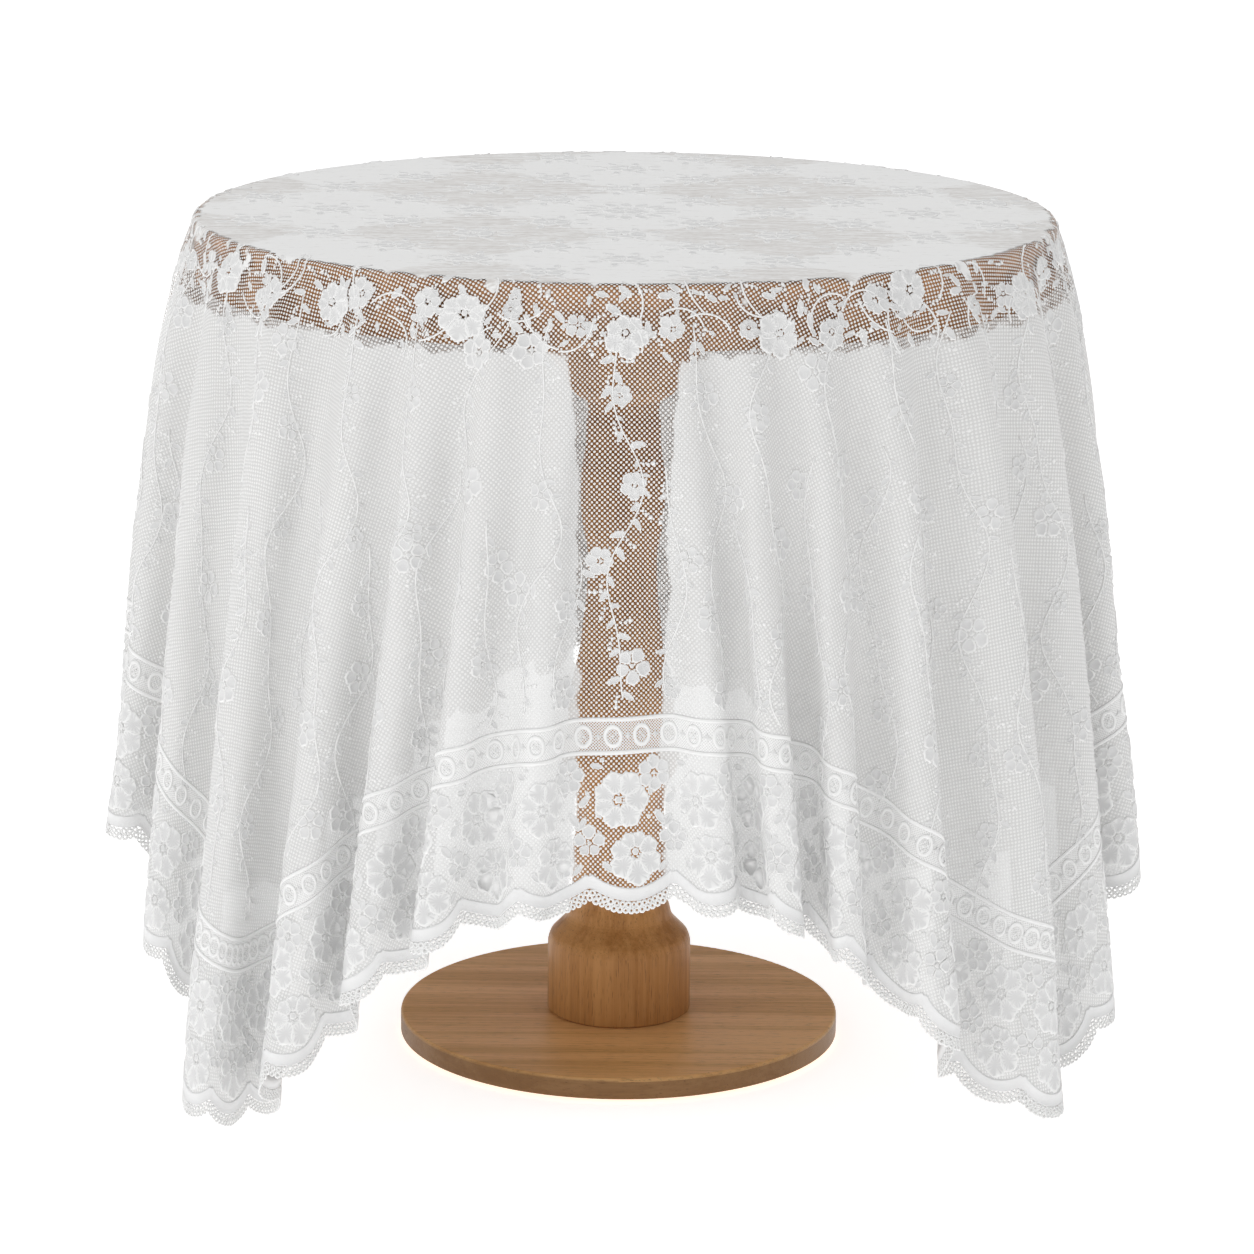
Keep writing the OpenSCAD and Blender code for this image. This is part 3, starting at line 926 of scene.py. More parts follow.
@dataclass(frozen=True)
class NetGround:
    """The cotton net: open round the rim and down each side's middle, closer elsewhere, woven on top.

    Args:
        cloth: Colour of the cotton.
        shaded: Its colour where it is thinner.
        hole_shade: Colour of the film in the holes of the closer net, painted darker than the thread as
            painted shade from inside the cloth.
        centre: Colour of the woven middle between its threads.
        pitch: Lattice pitch of the field, in metres.
        fine_pitch: Lattice pitch of the insertion band.
        closeness: How much of the field's lattice is thread, from -1 to 1.
        fine_closeness: The same for the insertion band.
        middle: Radius of the woven middle.
        diamond: How far apart its large woven diamonds are.
        open_rim: Radius out to which the net is open round the rim.
        open_waist: Half the width of the open panel of each side at its waist, as a part of its distance
            from the middle.
        taper: How much narrower that panel is at the hem.
        filling: How much of the closer net's holes that film fills; its darker colour is painted shade.
    """

    cloth: tuple = (0.80, 0.80, 0.795, 1)
    shaded: tuple = (0.74, 0.74, 0.735, 1)
    hole_shade: tuple = (0.66, 0.66, 0.655, 1)
    centre: tuple = (0.63, 0.61, 0.59, 1)
    pitch: float = 4.4 * MM
    fine_pitch: float = 2.6 * MM
    closeness: float = -0.19
    fine_closeness: float = 0.25
    middle: float = 0.3795
    diamond: float = 0.26
    open_rim: float = 0.437
    open_waist: float = 0.063
    taper: float = 0.017
    filling: float = 0.88

    def material(self) -> bpy.types.Material:
        """Builds the material."""
        finish = Finish("lace_net")
        nodes = finish.nodes
        flat = finish.flat_place()
        net = finish.group(
            Group.NET, {"Vector": flat, "Pitch": self.pitch, "Closeness": self.closeness}
        ).outputs
        band_net = finish.group(
            Group.NET, {"Vector": flat, "Pitch": self.fine_pitch, "Closeness": self.fine_closeness}
        ).outputs
        radius = nodes.add("VectorMath", {0: flat}, operation="LENGTH").outputs["Value"]
        lobes = nodes.range(nodes.noise(flat, 26.0, 2.0), 0.5, 0.72, 0.0, 0.022)
        ragged = nodes.sum("SUBTRACT", nodes.sum("MULTIPLY", nodes.noise(flat, 90.0, 3.0), 0.012), lobes)
        inside = nodes.range(nodes.sum("ADD", radius, ragged), self.middle, self.middle + 0.005, 1.0, 0.0)
        in_band = nodes.range(finish.tint(), 0.3, 0.7, 0.0, 1.0)
        thread = nodes.blend(in_band, net["Thread"], band_net["Thread"])
        filled = nodes.blend(self._openness(nodes, flat, radius), self.filling, 0.0)
        slub = nodes.streaks(flat, (22.0, 160.0, 1.0), 4.0, 0.6)
        tuft = nodes.streaks(flat, (120.0, 420.0, 1.0), 3.0, 0.6)
        weave = nodes.blend(0.5, slub, tuft)
        close = nodes.sum("MULTIPLY", inside, nodes.range(weave, 0.36, 0.44, 0.86, 1.0))
        tone = nodes.sum("ADD", weave, nodes.sum("MULTIPLY", self._diamonds(nodes, flat), 0.15))
        woven = nodes.mix(nodes.range(tone, 0.44, 0.60, 0.0, 1.0), self.centre, self.cloth)
        uneven = nodes.range(nodes.noise(flat, 9.0, 3.0), 0.3, 0.7, 0.0, 0.5)
        cotton = nodes.mix(uneven, self.cloth, self.shaded)
        # Painted shade: the closer net's holes take a darker film that stands in for the shade inside the
        # cloth.
        netted = nodes.mix(nodes.blend(filled, 1.0, thread), self.hole_shade, cotton)
        finish.put(
            Base_Color=nodes.mix(inside, netted, woven),
            Alpha=nodes.sum("MAXIMUM", nodes.sum("MAXIMUM", thread, filled), close),
            Roughness=nodes.range(slub, 0.3, 0.7, 0.95, 0.75),
            Sheen_Weight=0.25,
            Sheen_Roughness=0.5,
        )
        height = nodes.blend(inside, net["Height"], nodes.sum("MULTIPLY", weave, 1.6))
        finish.bump(height, 0.4 * MM, 0.6)
        return finish.material

    def _openness(self, nodes: Nodes, flat: Socket, radius: Socket) -> Socket:
        """Returns where the net is open: round the rim and down the middle of each side."""
        place = nodes.parts(flat)
        aside, ahead = nodes.sum("ABSOLUTE", place[0]), nodes.sum("ABSOLUTE", place[1])
        share = nodes.sum("DIVIDE", nodes.sum("MINIMUM", aside, ahead), nodes.sum("MAXIMUM", aside, ahead))
        wander = nodes.noise(flat, 38.0, 3.0, 0.6)
        narrowed = nodes.sum("ADD", share, nodes.range(radius, 0.62, 0.76, 0.0, self.taper))
        edge = nodes.sum("ADD", narrowed, nodes.sway(wander, 0.026))
        off_waist = nodes.sum("MAXIMUM", nodes.sum("SUBTRACT", 0.62, radius), 0.0)
        flare = nodes.sum("MULTIPLY", nodes.sum("MULTIPLY", off_waist, off_waist), 1.3)
        within = nodes.sum("SUBTRACT", edge, flare)
        side = nodes.range(within, self.open_waist, self.open_waist + 0.006, 1.0, 0.0)
        low = nodes.sum("ADD", radius, nodes.sway(wander, 0.03))
        rim = nodes.range(low, self.open_rim, self.open_rim + 0.004, 1.0, 0.0)
        return nodes.sum("MAXIMUM", side, rim)

    def _diamonds(self, nodes: Nodes, flat: Socket) -> Socket:
        """Returns a mask of large woven diamonds over the table top."""
        place = nodes.parts(flat)
        turn = 2 * math.pi / self.diamond
        waves = [nodes.sum("COSINE", nodes.sum("MULTIPLY", place[axis], turn)) for axis in (0, 1)]
        both = nodes.sum("ADD", waves[0], waves[1])
        ragged = nodes.sum("ADD", both, nodes.sum("MULTIPLY", nodes.noise(flat, 30.0, 3.0), 1.2))
        return nodes.range(ragged, 0.3, 0.9, 0.0, 1.0)


@dataclass(frozen=True)
class Embroidery:
    """Cotton satin stitch: bright raised outlines round slightly greyer fillings.

    Args:
        name: The material's name.
        outline: Colour of the raised cords.
        filling: Colour of the sheer fillings, painted greyer than the thread as painted shade in their lower
            middles.
    """

    name: str = "lace_relief"
    outline: tuple = (0.85, 0.85, 0.845, 1)
    filling: tuple = (0.67, 0.67, 0.67, 1)

    def material(self) -> bpy.types.Material:
        """Builds the material."""
        finish = Finish(self.name)
        nodes = finish.nodes
        place = finish.object_place()
        twist = finish.group(Group.TWIST, {"Vector": place, "Strand": 0.8 * MM}).outputs
        # Painted shade: the lower middles that the tint marks take the greyer filling colour.
        inner = nodes.range(finish.tint(), 0.35, 0.95, 0.0, 1.0)
        shaded = nodes.sum("MULTIPLY", inner, nodes.range(twist["Shade"], 0.3, 0.7, 0.7, 1.0))
        finish.put(
            Base_Color=nodes.mix(shaded, self.outline, self.filling),
            Roughness=nodes.range(twist["Shade"], 0.3, 0.7, 0.68, 0.85),
            Sheen_Weight=0.2,
            Sheen_Roughness=0.45,
        )
        finish.bump(twist["Height"], 0.25 * MM, 0.5)
        return finish.material


@dataclass(frozen=True)
class Satin:
    """Smooth woven tape with a soft shine.

    Args:
        color: Its colour.
        dulled: Its colour where it has been rubbed.
    """

    color: tuple = (0.80, 0.80, 0.80, 1)
    dulled: tuple = (0.72, 0.72, 0.72, 1)

    def material(self) -> bpy.types.Material:
        """Builds the material."""
        finish = Finish("satin_tape")
        nodes = finish.nodes
        place = finish.object_place()
        twist = finish.group(Group.TWIST, {"Vector": place, "Strand": 0.45 * MM}).outputs
        mottled = nodes.mix(nodes.range(twist["Shade"], 0.3, 0.7, 0.0, 0.5), self.color, self.dulled)
        finish.put(
            Base_Color=mottled,
            Roughness=nodes.range(twist["Shade"], 0.3, 0.7, 0.42, 0.58),
            Sheen_Weight=0.3,
            Sheen_Roughness=0.35,
        )
        finish.bump(twist["Height"], 0.12 * MM, 0.5)
        return finish.material


class Along(Enum):
    """Which way a board's grain runs, as the turn that brings it to X."""

    X = (0.0, 0.0, 0.0)
    Z = (0.0, math.pi / 2, 0.0)


@dataclass(frozen=True)
class Wood:
    """Oiled timber.

    Args:
        name: The material's name.
        light: Colour of its early wood.
        dark: Colour of its late wood.
        along: Which way the grain runs.
        pores: How open its pores are.
        shift: Moves the figure, so that no two boards match.
        edge: How much darker faces that point sideways are painted: painted shade, so that the sides read
            darker than the tops.
        side_shade: Colour that those faces are painted towards, as painted shade.
    """

    name: str
    light: tuple
    dark: tuple
    along: Along = Along.X
    pores: float = 1.0
    shift: float = 0.0
    edge: float = 0.0
    side_shade: tuple = (0.10, 0.04, 0.012, 1)

    def material(self) -> bpy.types.Material:
        """Builds the material."""
        finish = Finish(self.name)
        nodes = finish.nodes
        moved = (self.shift, 0, self.shift)
        values = {"Vector": finish.object_place(), "Rotation": self.along.value, "Location": moved}
        place = nodes.add("Mapping", values).outputs[0]
        grain = finish.group(
            Group.GRAIN, {"Vector": place, "Light": self.light, "Dark": self.dark, "Pores": self.pores}
        ).outputs
        # Painted shade: faces that point sideways are darkened by how upright they are.
        normal = nodes.add("TexCoord").outputs["Normal"]
        level = nodes.sum("ABSOLUTE", nodes.parts(normal)[2])
        upright = nodes.sum("SUBTRACT", 1.0, level)
        shaded_sides = nodes.mix(nodes.sum("MULTIPLY", upright, self.edge), grain["Color"], self.side_shade)
        finish.put(Base_Color=shaded_sides, Roughness=grain["Roughness"], Specular_IOR_Level=0.25)
        finish.bump(grain["Height"], 0.35 * MM, 0.5)
        return finish.material


@dataclass(frozen=True)
class Hard:
    """Metal, plastic or a coat of paint.

    Args:
        name: The material's name.
        color: Its colour.
        metallic: 1 for bare metal.
        gloss: Its roughness where it is clean.
        worn: Its colour where it is smeared.
        smear: How much rougher a smear is.
    """

    name: str
    color: tuple
    metallic: float
    gloss: float
    worn: tuple
    smear: float = 0.15

    def material(self) -> bpy.types.Material:
        """Builds the material."""
        finish = Finish(self.name)
        nodes = finish.nodes
        place = finish.object_place()
        values = {"Vector": place, "Gloss": self.gloss, "Smear": self.smear}
        marks = finish.group(Group.HANDLING, values).outputs
        tone = nodes.range(marks["Shade"], 0.4, 0.75, 0.0, 1.0)
        finish.put(
            Base_Color=nodes.mix(tone, self.color, self.worn),
            Metallic=self.metallic,
            Roughness=marks["Roughness"],
        )
        finish.bump(marks["Height"], 0.05 * MM, 0.4)
        return finish.material


# ---------------------------------------------------------------- the cloth


# A sprig's three dots: how far along it each is, and its radius, in mm
SPRIG = ((6, 1.6), (10, 1.9), (14, 2.3))

# The leaves round each border rosette: scallops along, mm in from the hem, turn, and length in mm
BORDER_LEAVES = (
    (0.80, 88, 0.6, 17), (0.92, 92, 2.4, 15), (0.99, 84, -0.5, 13), (0.74, 100, 2.9, 12),
    (0.10, 84, 2.2, 14), (0.16, 46, 0.7, 13), (0.93, 44, -0.7, 13), (0.06, 128, 1.4, 12),
)

# The dots between them: scallops along, and mm in from the hem
BORDER_DOTS = ((0.72, 82), (0.76, 130), (0.02, 104), (0.20, 132), (0.90, 74), (0.14, 70))


@dataclass
class Tablecloth:
    """The lace cloth: its net, its scalloped hem, its borders and its embroidered field.

    Sizes are in metres. A piece is laid out flat, from the hem inwards, and then wrapped on the drape.
    """

    drape: Drape
    patterns: Patterns
    hem: Band = field(default_factory=Band)
    body: str = "cloth"
    columns_per_scallop: int = 17
    pieces: list = field(default_factory=list)

    def __post_init__(self) -> None:
        """Starts the random draws and measures a scallop."""
        self.draw = np.random.default_rng(SEED)
        self.pitch = self.drape.perimeter / self.hem.scallops
        self.net = NetGround().material()
        self.thread = Embroidery().material()
        self.satin = Satin().material()

    def make(self) -> None:
        """Makes every piece of the cloth."""
        ground = self._ground()
        self._tape()
        self._picots()
        self._insertion_cords()
        self._insertion_rings()
        fan, blossom = Flower(29 * MM, 7, uneven=0.42), Flower(28 * MM, 7, uneven=0.25)
        self._flower_row("border_fans", fan, part=0.54, inward=53 * MM, turn=0.0, spread=0.15)
        self._flower_row("border_blossoms", blossom, part=0.36, inward=98 * MM, turn=math.pi / 2, spread=0.3)
        self._border_rosettes()
        self._vines()
        self._garland()
        self._centre()
        self.drape.flat_area()

    def _finish(self, piece: bpy.types.Object, material: bpy.types.Material) -> bpy.types.Object:
        """Dresses a piece and fixes it to the cloth's body."""
        piece.data.materials.append(material)
        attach(piece, self.body)
        self.pieces.append(piece)
        triangles = sum(len(face.vertices) - 2 for face in piece.data.polygons)
        LOG.info("%s: %d triangles", piece.name, triangles)
        return piece

    def _sewn(self, name: str, heap: Heap) -> bpy.types.Object:
        """Wraps a heap of flat shapes on the cloth as one embroidered piece."""
        return self._finish(build(name, self.drape.wrap(heap.shape())), self.thread)

    def _spot(self, scallop: float, inward: float) -> tuple:
        """Returns the flat place so many scallops along and so far in, and the angle that points out."""
        along = scallop * self.pitch + self.hem.start
        u, v = self.drape.from_hem(np.array([along]), np.array([inward]))
        return float(u[0]), float(v[0]), self.drape.facing(along)

    def _hem_line(self, level: float, per_scallop: int) -> tuple:
        """Returns the flat line that keeps a level in from the scalloped edge."""
        part = np.arange(self.hem.scallops * per_scallop) / per_scallop
        along = part * self.pitch + self.hem.start
        return self.drape.from_hem(along, self.hem.inward(part, level, self.pitch))

    def _ground(self) -> bpy.types.Object:
        """The net itself, from under the hem tape up over the rim to the middle of the top."""
        hem, drape = self.hem, self.drape
        columns = hem.scallops * self.columns_per_scallop
        bent = drape.bend * math.pi / 2
        part = np.arange(columns) / self.columns_per_scallop
        along = part * self.pitch + hem.start
        first = hem.inward(part, hem.picot + hem.tape / 2, self.pitch)
        clear = 45 * MM
        margin = 1.5 * MM
        levels = [first + (clear - first) * t for t in (0.0, 0.33, 0.66, 1.0)]
        marks = [60, 76, 92, 108, 124]
        levels += [np.full(columns, mark * MM) for mark in marks]
        inner = [hem.lower_cord + margin, hem.lower_cord + hem.band / 2, hem.upper_cord - margin]
        band_rows = range(len(levels) + 1, len(levels) + 1 + len(inner))
        for level in [hem.lower_cord - margin] + inner + [hem.upper_cord + margin]:
            levels.append(np.full(columns, level))
        flat = [np.stack(drape.from_hem(along, level)) for level in levels]
        last = flat[-1]
        reach = np.hypot(last[0], last[1])
        rows_down, rows_in = 30, 13
        for t in np.linspace(0, 1, rows_down + 1)[1:]:
            flat.append(last / reach * (reach * (1 - t) + (drape.flat_rim + bent) * t))
        for t in (0.25, 0.5, 0.75, 1.0):
            flat.append(last / reach * (drape.flat_rim + bent * (1 - t)))
        for radius in np.linspace(drape.flat_rim, 4 * MM, rows_in + 1)[1:]:
            flat.append(last / reach * radius)
        rows = len(flat)
        u, v = np.concatenate([row[0] for row in flat]), np.concatenate([row[1] for row in flat])
        points = drape.place(u, v, np.zeros(len(u)))
        tint = np.zeros(len(u))
        for row in band_rows:
            tint[row * columns : (row + 1) * columns] = 1.0
        faces = grid_faces(rows, columns)
        faces.append([(rows - 1) * columns + i for i in range(columns)])
        uv = np.stack([u, v], axis=1) / 2 + 0.5
        piece = build("lace_ground", Shape(points, faces, tint), uv)
        self._finish(piece, self.net)
        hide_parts("lace_field", "insertion_band", "border_flounce")
        return piece

    def _strip(self, name: str, section: Sequence[tuple], per_scallop: int) -> bpy.types.Object:
        """A closed band that follows the scallops.

        Args:
            name: The piece's name.
            section: Corners of its section: level in from the edge and height over the cloth.
            per_scallop: Points along each scallop.
        """
        rows = []
        for level, height in section:
            u, v = self._hem_line(level, per_scallop)
            rows.append(self.drape.place(u, v, np.full(len(u), height)))
        rows.append(rows[0])
        columns, sides = len(rows[0]), len(section)
        points = np.concatenate(rows[:-1])
        faces = []
        for j in range(sides):
            k = (j + 1) % sides
            for i in range(columns):
                m = (i + 1) % columns
                faces.append([j * columns + i, j * columns + m, k * columns + m, k * columns + i])
        return build(name, Shape(points, faces))

    def _tape(self) -> None:
        """The satin tape with its stitched edges."""
        low, wide = self.hem.picot, self.hem.tape
        stitched = 1.4 * MM
        top, ridge, back = 0.75 * MM, 1.15 * MM, -0.45 * MM
        section = (
            (low, back), (low, 0.2 * MM), (low + stitched * 0.5, ridge), (low + stitched, top),
            (low + wide / 2, top * 1.05), (low + wide - stitched, top),
            (low + wide - stitched * 0.5, ridge), (low + wide, 0.2 * MM), (low + wide, back),
        )
        piece = self._strip("satin_hem", section, 26)
        self._finish(piece, self.satin)
        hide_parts("hem_tape")

    def _picots(self) -> None:
        """Two rows of small linked loops under the tape."""
        heap = Heap()
        per_scallop = 15
        size = self.pitch / per_scallop * 0.62
        for row, level in enumerate((3.0 * MM, 7.9 * MM)):
            part = (np.arange(self.hem.scallops * per_scallop) + 0.5 * row) / per_scallop
            inward = self.hem.inward(part, level, self.pitch)
            u, v = self.drape.from_hem(part * self.pitch + self.hem.start, inward)
            swell = self.draw.uniform(0.88, 1.18, len(part))
            for k in range(len(part)):
                heap.add(self.patterns.loop.moved(0.4 * k, size * swell[k], u[k], v[k]))
        piece = self._sewn("picot_loops", heap)
        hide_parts("picot_edging")

    def _insertion_cords(self) -> None:
        """The two cords of the insertion band, one object round the whole cloth."""
        heap = Heap()
        count = self.hem.scallops * 18
        along = np.arange(count) / count * self.drape.perimeter
        for level in (self.hem.lower_cord, self.hem.upper_cord):
            path = np.stack(self.drape.from_hem(along, np.full(count, level)), axis=1)
            heap.add(sweep(path, self.hem.cord, 1.1 * MM, closed=True))
        self._sewn("insertion_cords", heap)

    def _insertion_rings(self) -> None:
        """Rings between the cords, each round a small dotted star, with a star between them."""
        heap = Heap()
        middle = self.hem.lower_cord + self.hem.band / 2
        high, wide = 10.2 * MM, 0.84
        ring = self.patterns.ring
        oval = Shape(ring.points * np.array([1.0, wide, 1.0]), ring.faces, ring.tint)
        for k in range(self.hem.scallops * 3):
            u, v, out = self._spot(k / 3, middle)
            heap.add(oval.moved(out, high, u, v))
            heap.add(self.patterns.dot.moved(out, 1.3 * MM, u, v))
            for n in range(4):
                angle = out + math.pi / 4 + math.pi / 2 * n
                heap.add(self.patterns.dot.moved(angle, 0.9 * MM, *beside(u, v, angle, 3 * MM)))
            u, v, out = self._spot((k + 0.5) / 3, middle)
            heap.add(self.patterns.star.moved(out, 3.8 * MM, u, v))
        self._sewn("insertion_rings", heap)

    def _flower_row(
        self, name: str, flower: Flower, part: float, inward: float, turn: float, spread: float
    ) -> None:
        """Sews a flower in each scallop, all of them one piece.

        Args:
            name: The piece's name.
            flower: The flower that repeats.
            part: Where it is along the scallop, from 0 to 1.
            inward: How far in from the hem it is, in metres.
            turn: How far it is turned from facing out of the hem.
            spread: How much further it may turn to either side.
        """
        heap = Heap()
        for k in range(self.hem.scallops):
            u, v, out = self._spot(k + part, inward)
            flower.draw(heap, self.patterns, u, v, out + turn + self.draw.uniform(-spread, spread))
        self._sewn(name, heap)

    def _border_rosettes(self) -> None:
        """A small rosette beside each blossom, a half flower over each cusp, and leaves and dots between."""
        heap = Heap()
        rosette = Flower(15.5 * MM, 6, fine=False)
        bud = Flower(16 * MM, 5, uneven=0.3, fine=False)
        for k in range(self.hem.scallops):
            u, v, out = self._spot(k + 0.80, 119 * MM)
            rosette.draw(heap, self.patterns, u, v, out + self.draw.uniform(0, 1))
            u, v, out = self._spot(k + 1.02, 62 * MM)
            bud.draw(heap, self.patterns, u, v, out + math.pi)
            for part, inward, turn, length in BORDER_LEAVES:
                u, v, out = self._spot(k + part, inward * MM)
                heap.add(self.patterns.leaf.moved(out + turn, length * MM, u, v))
            for part, inward in BORDER_DOTS:
                u, v, out = self._spot(k + part, inward * MM)
                heap.add(self.patterns.dot.moved(out, 2.2 * MM, u, v))
        self._sewn("border_rosettes", heap)

    def _vine_path(self, azimuth: float, start: float, end: float, sway: float, phase: float) -> Array:
        """Returns the flat points of a vine that sways as it runs outwards."""
        radius = np.arange(start, end, 6 * MM)
        wave = np.sin(radius / 0.034 + phase) + 0.5 * np.sin(radius / 0.019 + 2.3 * phase)
        angle = azimuth + sway * wave / radius
        return np.stack([radius * np.sin(angle), -radius * np.cos(angle)], axis=1)

    def _grow(self, stems: Heap, leaves: Heap, sprigs: Heap, flowers: Heap, path: Array) -> None:
        """Puts one vine on the heaps: its stem, its leaves, its sprigs and its flowers."""
        stems.add(sweep(path, 1.5 * MM, 0.9 * MM))
        tangent = np.gradient(path, axis=0)
        until_flower = self.draw.integers(4, 14)
        side = 1
        for i in range(1, len(path) - 1):
            heading = math.atan2(tangent[i, 1], tangent[i, 0])
            u, v = path[i]
            if i == until_flower:
                until_flower += self.draw.integers(11, 20)
                radius = self.draw.uniform(10, 18) * MM
                turn = heading + side * 1.3
                flower = Flower(radius, int(self.draw.integers(5, 7)), uneven=0.2, fine=False)
                flower.draw(flowers, self.patterns, *beside(u, v, turn, 0.6 * radius), turn)
                side = -side
            elif i % 2 == 0:
                spread = side * self.draw.uniform(0.6, 1.2)
                length = self.draw.uniform(7, 15) * MM
                leaves.add(self.patterns.leaf.moved(heading + spread, length, u, v))
                if self.draw.random() < 0.7:
                    self._sprig(sprigs, u, v, heading - spread)
                side = -side

    def _sprig(self, heap: Heap, u: float, v: float, heading: float) -> None:
        """Puts a curling row of three dots on the heap."""
        for n, (away, size) in enumerate(SPRIG):
            angle = heading + 0.18 * n
            heap.add(self.patterns.seed.moved(angle, size * MM, *beside(u, v, angle, away * MM)))

    def _vines(self) -> None:
        """The flowering vines that run down the skirt from the rim to the insertion band."""
        stems, leaves, sprigs, flowers = Heap(), Heap(), Heap(), Heap()
        count = 44
        clear = self.hem.upper_cord + 14 * MM
        for k in range(count * 2):
            azimuth = 2 * math.pi * (k + self.draw.uniform(-0.2, 0.2)) / (count * 2)
            start = 0.400 + self.draw.uniform(0, 0.02) if k % 2 == 0 else self.draw.uniform(0.52, 0.62)
            end = float(self.drape.reach(np.array(azimuth))) - clear
            sway = self.draw.uniform(9, 15) * MM
            path = self._vine_path(azimuth, start, end, sway, self.draw.uniform(0, 6.28))
            self._grow(stems, leaves, sprigs, flowers, path)
        self._sewn("vine_stems", stems)
        self._sewn("vine_leaves", leaves)
        self._sewn("vine_sprigs", sprigs)
        self._sewn("vine_flowers", flowers)

    def _garland(self) -> None:
        """Large flowers, buds, leaves and curling stems round the rim of the table."""
        heap = Heap()
        count = 54
        middle = 0.407
        for k in range(count):
            azimuth = 2 * math.pi * (k + (self.draw.uniform(-0.4, 0.4) if k else 0.02)) / count
            radius = middle + self.draw.uniform(-13, 16) * MM
            u, v = at_azimuth(azimuth, radius)
            size = (self.draw.uniform(10, 17) if k % 3 else self.draw.uniform(19, 25)) * MM
            flower = Flower(size, int(self.draw.integers(5, 8)), uneven=0.35, fine=k % 3 == 0)
            flower.draw(heap, self.patterns, u, v, self.draw.uniform(0, 6.28))
            for n in range(9):
                turn = azimuth + self.draw.uniform(-30, 30) * MM / radius
                away = middle + self.draw.uniform(-24, 28) * MM
                u, v = at_azimuth(turn, away)
                heading = self.draw.uniform(0, 6.28)
                heap.add(self.patterns.leaf.moved(heading, self.draw.uniform(6, 16) * MM, u, v))
                if n % 2:
                    self._sprig(heap, u, v, heading + 2.5)
            self._tendril(heap, azimuth + 0.5 * math.pi / count, middle)
            self._tendril(heap, azimuth + 1.2 * math.pi / count, middle + self.draw.uniform(-12, 12) * MM)
        self._sewn("rim_garland", heap)

    def _tendril(self, heap: Heap, azimuth: float, radius: float) -> None:
        """Puts a curling stem on the heap, with its root at the given place."""
        bend = self.draw.uniform(0.05, 0.16) * (1 if self.draw.random() < 0.5 else -1)
        heading = self.draw.uniform(0, 6.28)
        place = np.array(at_azimuth(azimuth, radius))
        path = []
        for n in range(12):
            path.append(place.copy())
            place += 4 * MM * np.array([math.cos(heading), math.sin(heading)])
            heading += bend + 0.01 * n * math.copysign(1, bend)
        heap.add(sweep(np.array(path), 1.8 * MM, 0.9 * MM))

    def _centre(self) -> None:
        """The embroidery of the top: a middle medallion and flowers set in diamonds."""
        heap = Heap()
        Flower(20 * MM, 6).draw(heap, self.patterns, 0.0, 0.0, 0.0)
        for n in range(16):
            angle = math.pi / 8 * n
            heap.add(self.patterns.leaf.moved(angle, 26 * MM, *beside(0.0, 0.0, angle, 23 * MM)))
        step = 0.13
        small = Flower(19 * MM, 6, fine=False)
        for i in range(-5, 6):
            for j in range(-5, 6):
                u, v = (i + j) * step / 2, (i - j) * step / 2
                radius = math.hypot(u, v)
                if radius < 0.06 or radius > 0.345:
                    continue
                small.draw(heap, self.patterns, u, v, self.draw.uniform(0, 1))
                for n in range(8):
                    angle = math.pi / 4 * n + math.pi / 8
                    x, y = beside(u, v, angle, 21 * MM)
                    if math.hypot(x, y) < 0.355:
                        heap.add(self.patterns.leaf.moved(angle + 0.3, 17 * MM, x, y))
        self._sewn("top_embroidery", heap)


# ---------------------------------------------------------------- the table


class Table:
    """The table's own parts, which keep their shapes and take a finish."""

    # The base disc's oak is painted lighter than the rest of the oak, as painted light for what the cloth
    # keeps off its top, and its sides are darkened as painted shade.
    OAK_FLAT_LIT = Wood("oak_flat_lit", (0.95, 0.56, 0.24, 1), (0.68, 0.37, 0.14, 1), edge=0.8)
    OAK_ROUND = Wood("oak_round", (0.57, 0.285, 0.098, 1), (0.38, 0.165, 0.046, 1), Along.Z, shift=0.37)
    OAK_RIM = Wood("oak_rim", (0.47, 0.235, 0.095, 1), (0.31, 0.14, 0.048, 1), shift=1.3)
    BEECH = Wood("beech", (0.52, 0.34, 0.20, 1), (0.40, 0.23, 0.12, 1), pores=0.3, shift=0.7)
    STEEL = Hard("zinc_steel", (0.56, 0.57, 0.58, 1), 1.0, 0.28, (0.44, 0.44, 0.43, 1))
    COATED = Hard("coated_steel", (0.03, 0.03, 0.032, 1), 0.0, 0.42, (0.05, 0.048, 0.045, 1))
    NYLON = Hard("pad_nylon", (0.075, 0.072, 0.07, 1), 0.0, 0.5, (0.12, 0.115, 0.11, 1))
    FINISHES = (OAK_FLAT_LIT, OAK_ROUND, OAK_RIM, BEECH, STEEL, COATED, NYLON)
    BY_NAME = {
        "base_disc": OAK_FLAT_LIT,
        "column": OAK_ROUND,
        "top_panel": OAK_RIM,
        "edge_ring": OAK_RIM,
        "cleat": BEECH,
        "weight_plate": COATED,
        "glide_pad": NYLON,
    }

    def __init__(self) -> None:
        """Builds the finishes."""
        self.materials = {finish.name: finish.material() for finish in self.FINISHES}

    def make(self) -> None:
        """Dresses every part."""
        for node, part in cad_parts.items():
            finish = self._finish_of(node)
            part.data.materials.clear()
            part.data.materials.append(self.materials[finish.name])
            LOG.info("%s: %s", node, finish.name)

    def _finish_of(self, node: str) -> object:
        """Returns the finish of a part, from how its name starts."""
        for start, finish in self.BY_NAME.items():
            if node.startswith(start):
                return finish
        return self.STEEL


# ---------------------------------------------------------------- the studio


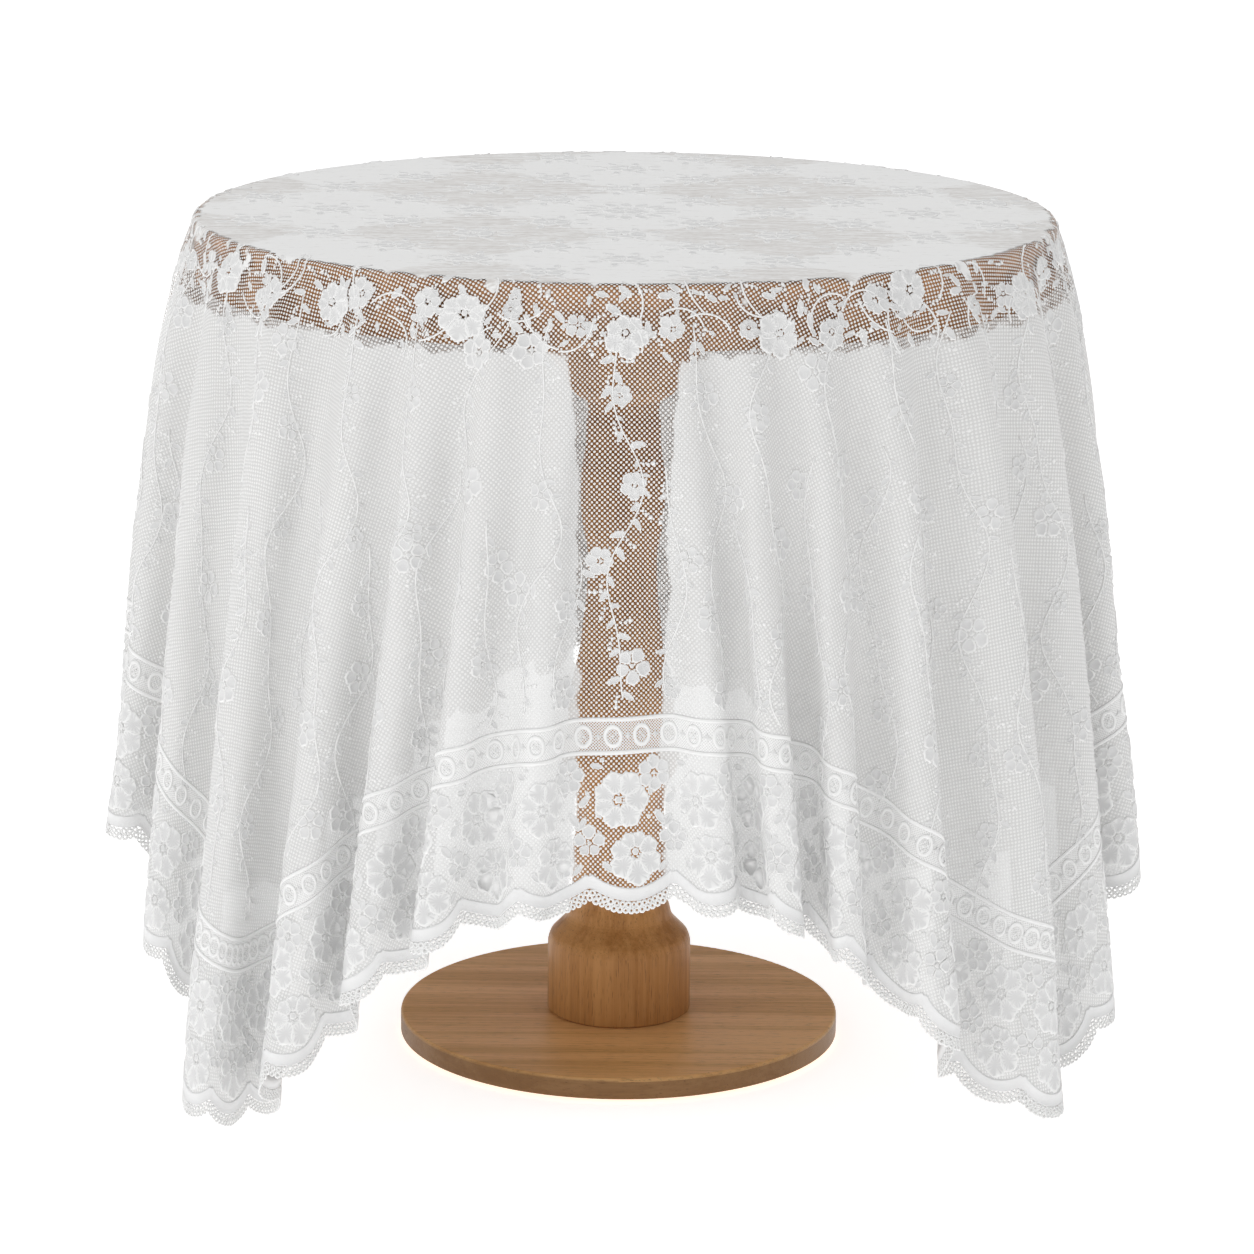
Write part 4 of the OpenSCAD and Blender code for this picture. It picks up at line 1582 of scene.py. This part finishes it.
@dataclass
class Studio:
    """A pale floor, soft light from all round, and the camera.

    Args:
        floor_half: Half the floor's side, in metres.
        floor_glow: How much light the floor gives.
        ambient: Strength of the light from all round.
        camera_at: Where the camera stands.
        tilt: Its turn about X, from looking straight down.
        roll: Its turn about its own axis.
        lens: Its focal length, in mm.
        sensor: Width of its sensor, in mm.
        shift: Its sideways shift, as a part of the frame's width.
    """

    floor_half: float = 12.0
    floor_glow: float = 0.68
    ambient: float = 0.56
    camera_at: tuple = (0.0, -4.0502, 1.3923)
    tilt: float = math.radians(90 - 13.98)
    roll: float = math.radians(0.506)
    lens: float = 132.31
    sensor: float = 36.0
    shift: float = 5.12 / 1254

    def make(self) -> None:
        """Builds all of it."""
        bpy.context.scene.view_settings.view_transform = "Standard"
        self._world()
        self._floor()
        self._lamp("key", (-2.6, -2.6, 3.2), 2.6, 48.0)
        self._lamp("fill", (3.0, -2.2, 2.2), 2.6, 9.0)
        self._lamp("above", (0.0, 0.6, 3.6), 3.0, 26.0)
        self._camera()

    def _world(self) -> None:
        """Even white light, seen as plain white."""
        world = bpy.data.worlds.new("studio")
        bpy.context.scene.world = world
        world.use_nodes = True
        world.node_tree.nodes.clear()
        nodes = Nodes(world.node_tree)
        seen = nodes.add("LightPath").outputs["Is Camera Ray"]
        strength = nodes.sum("ADD", nodes.sum("MULTIPLY", seen, 1.0 - self.ambient), self.ambient)
        light = nodes.add("Background", {"Color": (1, 1, 1, 1), "Strength": strength})
        output = nodes.add("OutputWorld")
        world.node_tree.links.new(light.outputs[0], output.inputs[0])

    def _floor(self) -> None:
        """A large white floor."""
        deselect()
        bpy.ops.mesh.primitive_plane_add(size=2 * self.floor_half, location=(0, 0, CAD_BOX[0][2]))
        floor = bpy.context.object
        floor.name = "floor"
        finish = Finish("pale_floor")
        finish.put(
            Base_Color=(0.9, 0.9, 0.9, 1),
            Roughness=0.9,
            Emission_Color=(1, 1, 1, 1),
            Emission_Strength=self.floor_glow,
        )
        floor.data.materials.append(finish.material)

    def _lamp(self, name: str, place: tuple, size: float, power: float) -> None:
        """A soft square lamp that looks at the table."""
        lamp = bpy.data.lights.new(name, "AREA")
        lamp.shape = "SQUARE"
        lamp.size = size
        lamp.energy = power
        item = bpy.data.objects.new(name, lamp)
        aim = Vector((0.0, 0.0, 0.4)) - Vector(place)
        item.matrix_world = Matrix.Translation(place) @ aim.to_track_quat("-Z", "Y").to_matrix().to_4x4()
        bpy.context.scene.collection.objects.link(item)

    def _camera(self) -> None:
        """The camera, a little above the table and in front of it."""
        camera = bpy.data.cameras.new("camera")
        camera.lens = self.lens
        camera.sensor_width = self.sensor
        camera.shift_x = self.shift
        item = bpy.data.objects.new("camera", camera)
        turn = Matrix.Rotation(self.tilt, 4, "X") @ Matrix.Rotation(self.roll, 4, "Z")
        item.matrix_world = Matrix.Translation(self.camera_at) @ turn
        bpy.context.scene.collection.objects.link(item)
        bpy.context.scene.camera = item


def main() -> None:
    """Builds the table's finishes, the cloth and the studio."""
    make_net_group()
    make_twist_group()
    make_grain_group()
    make_handling_group()
    Studio().make()
    Table().make()
    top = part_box("top_panel")[1].z
    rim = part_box("top_panel")[1].x
    drape = Drape(rim=rim + 1.2 * MM, top=top + 1.1 * MM)
    Tablecloth(drape, Patterns()).make()


if __name__ == "__main__":
    main()
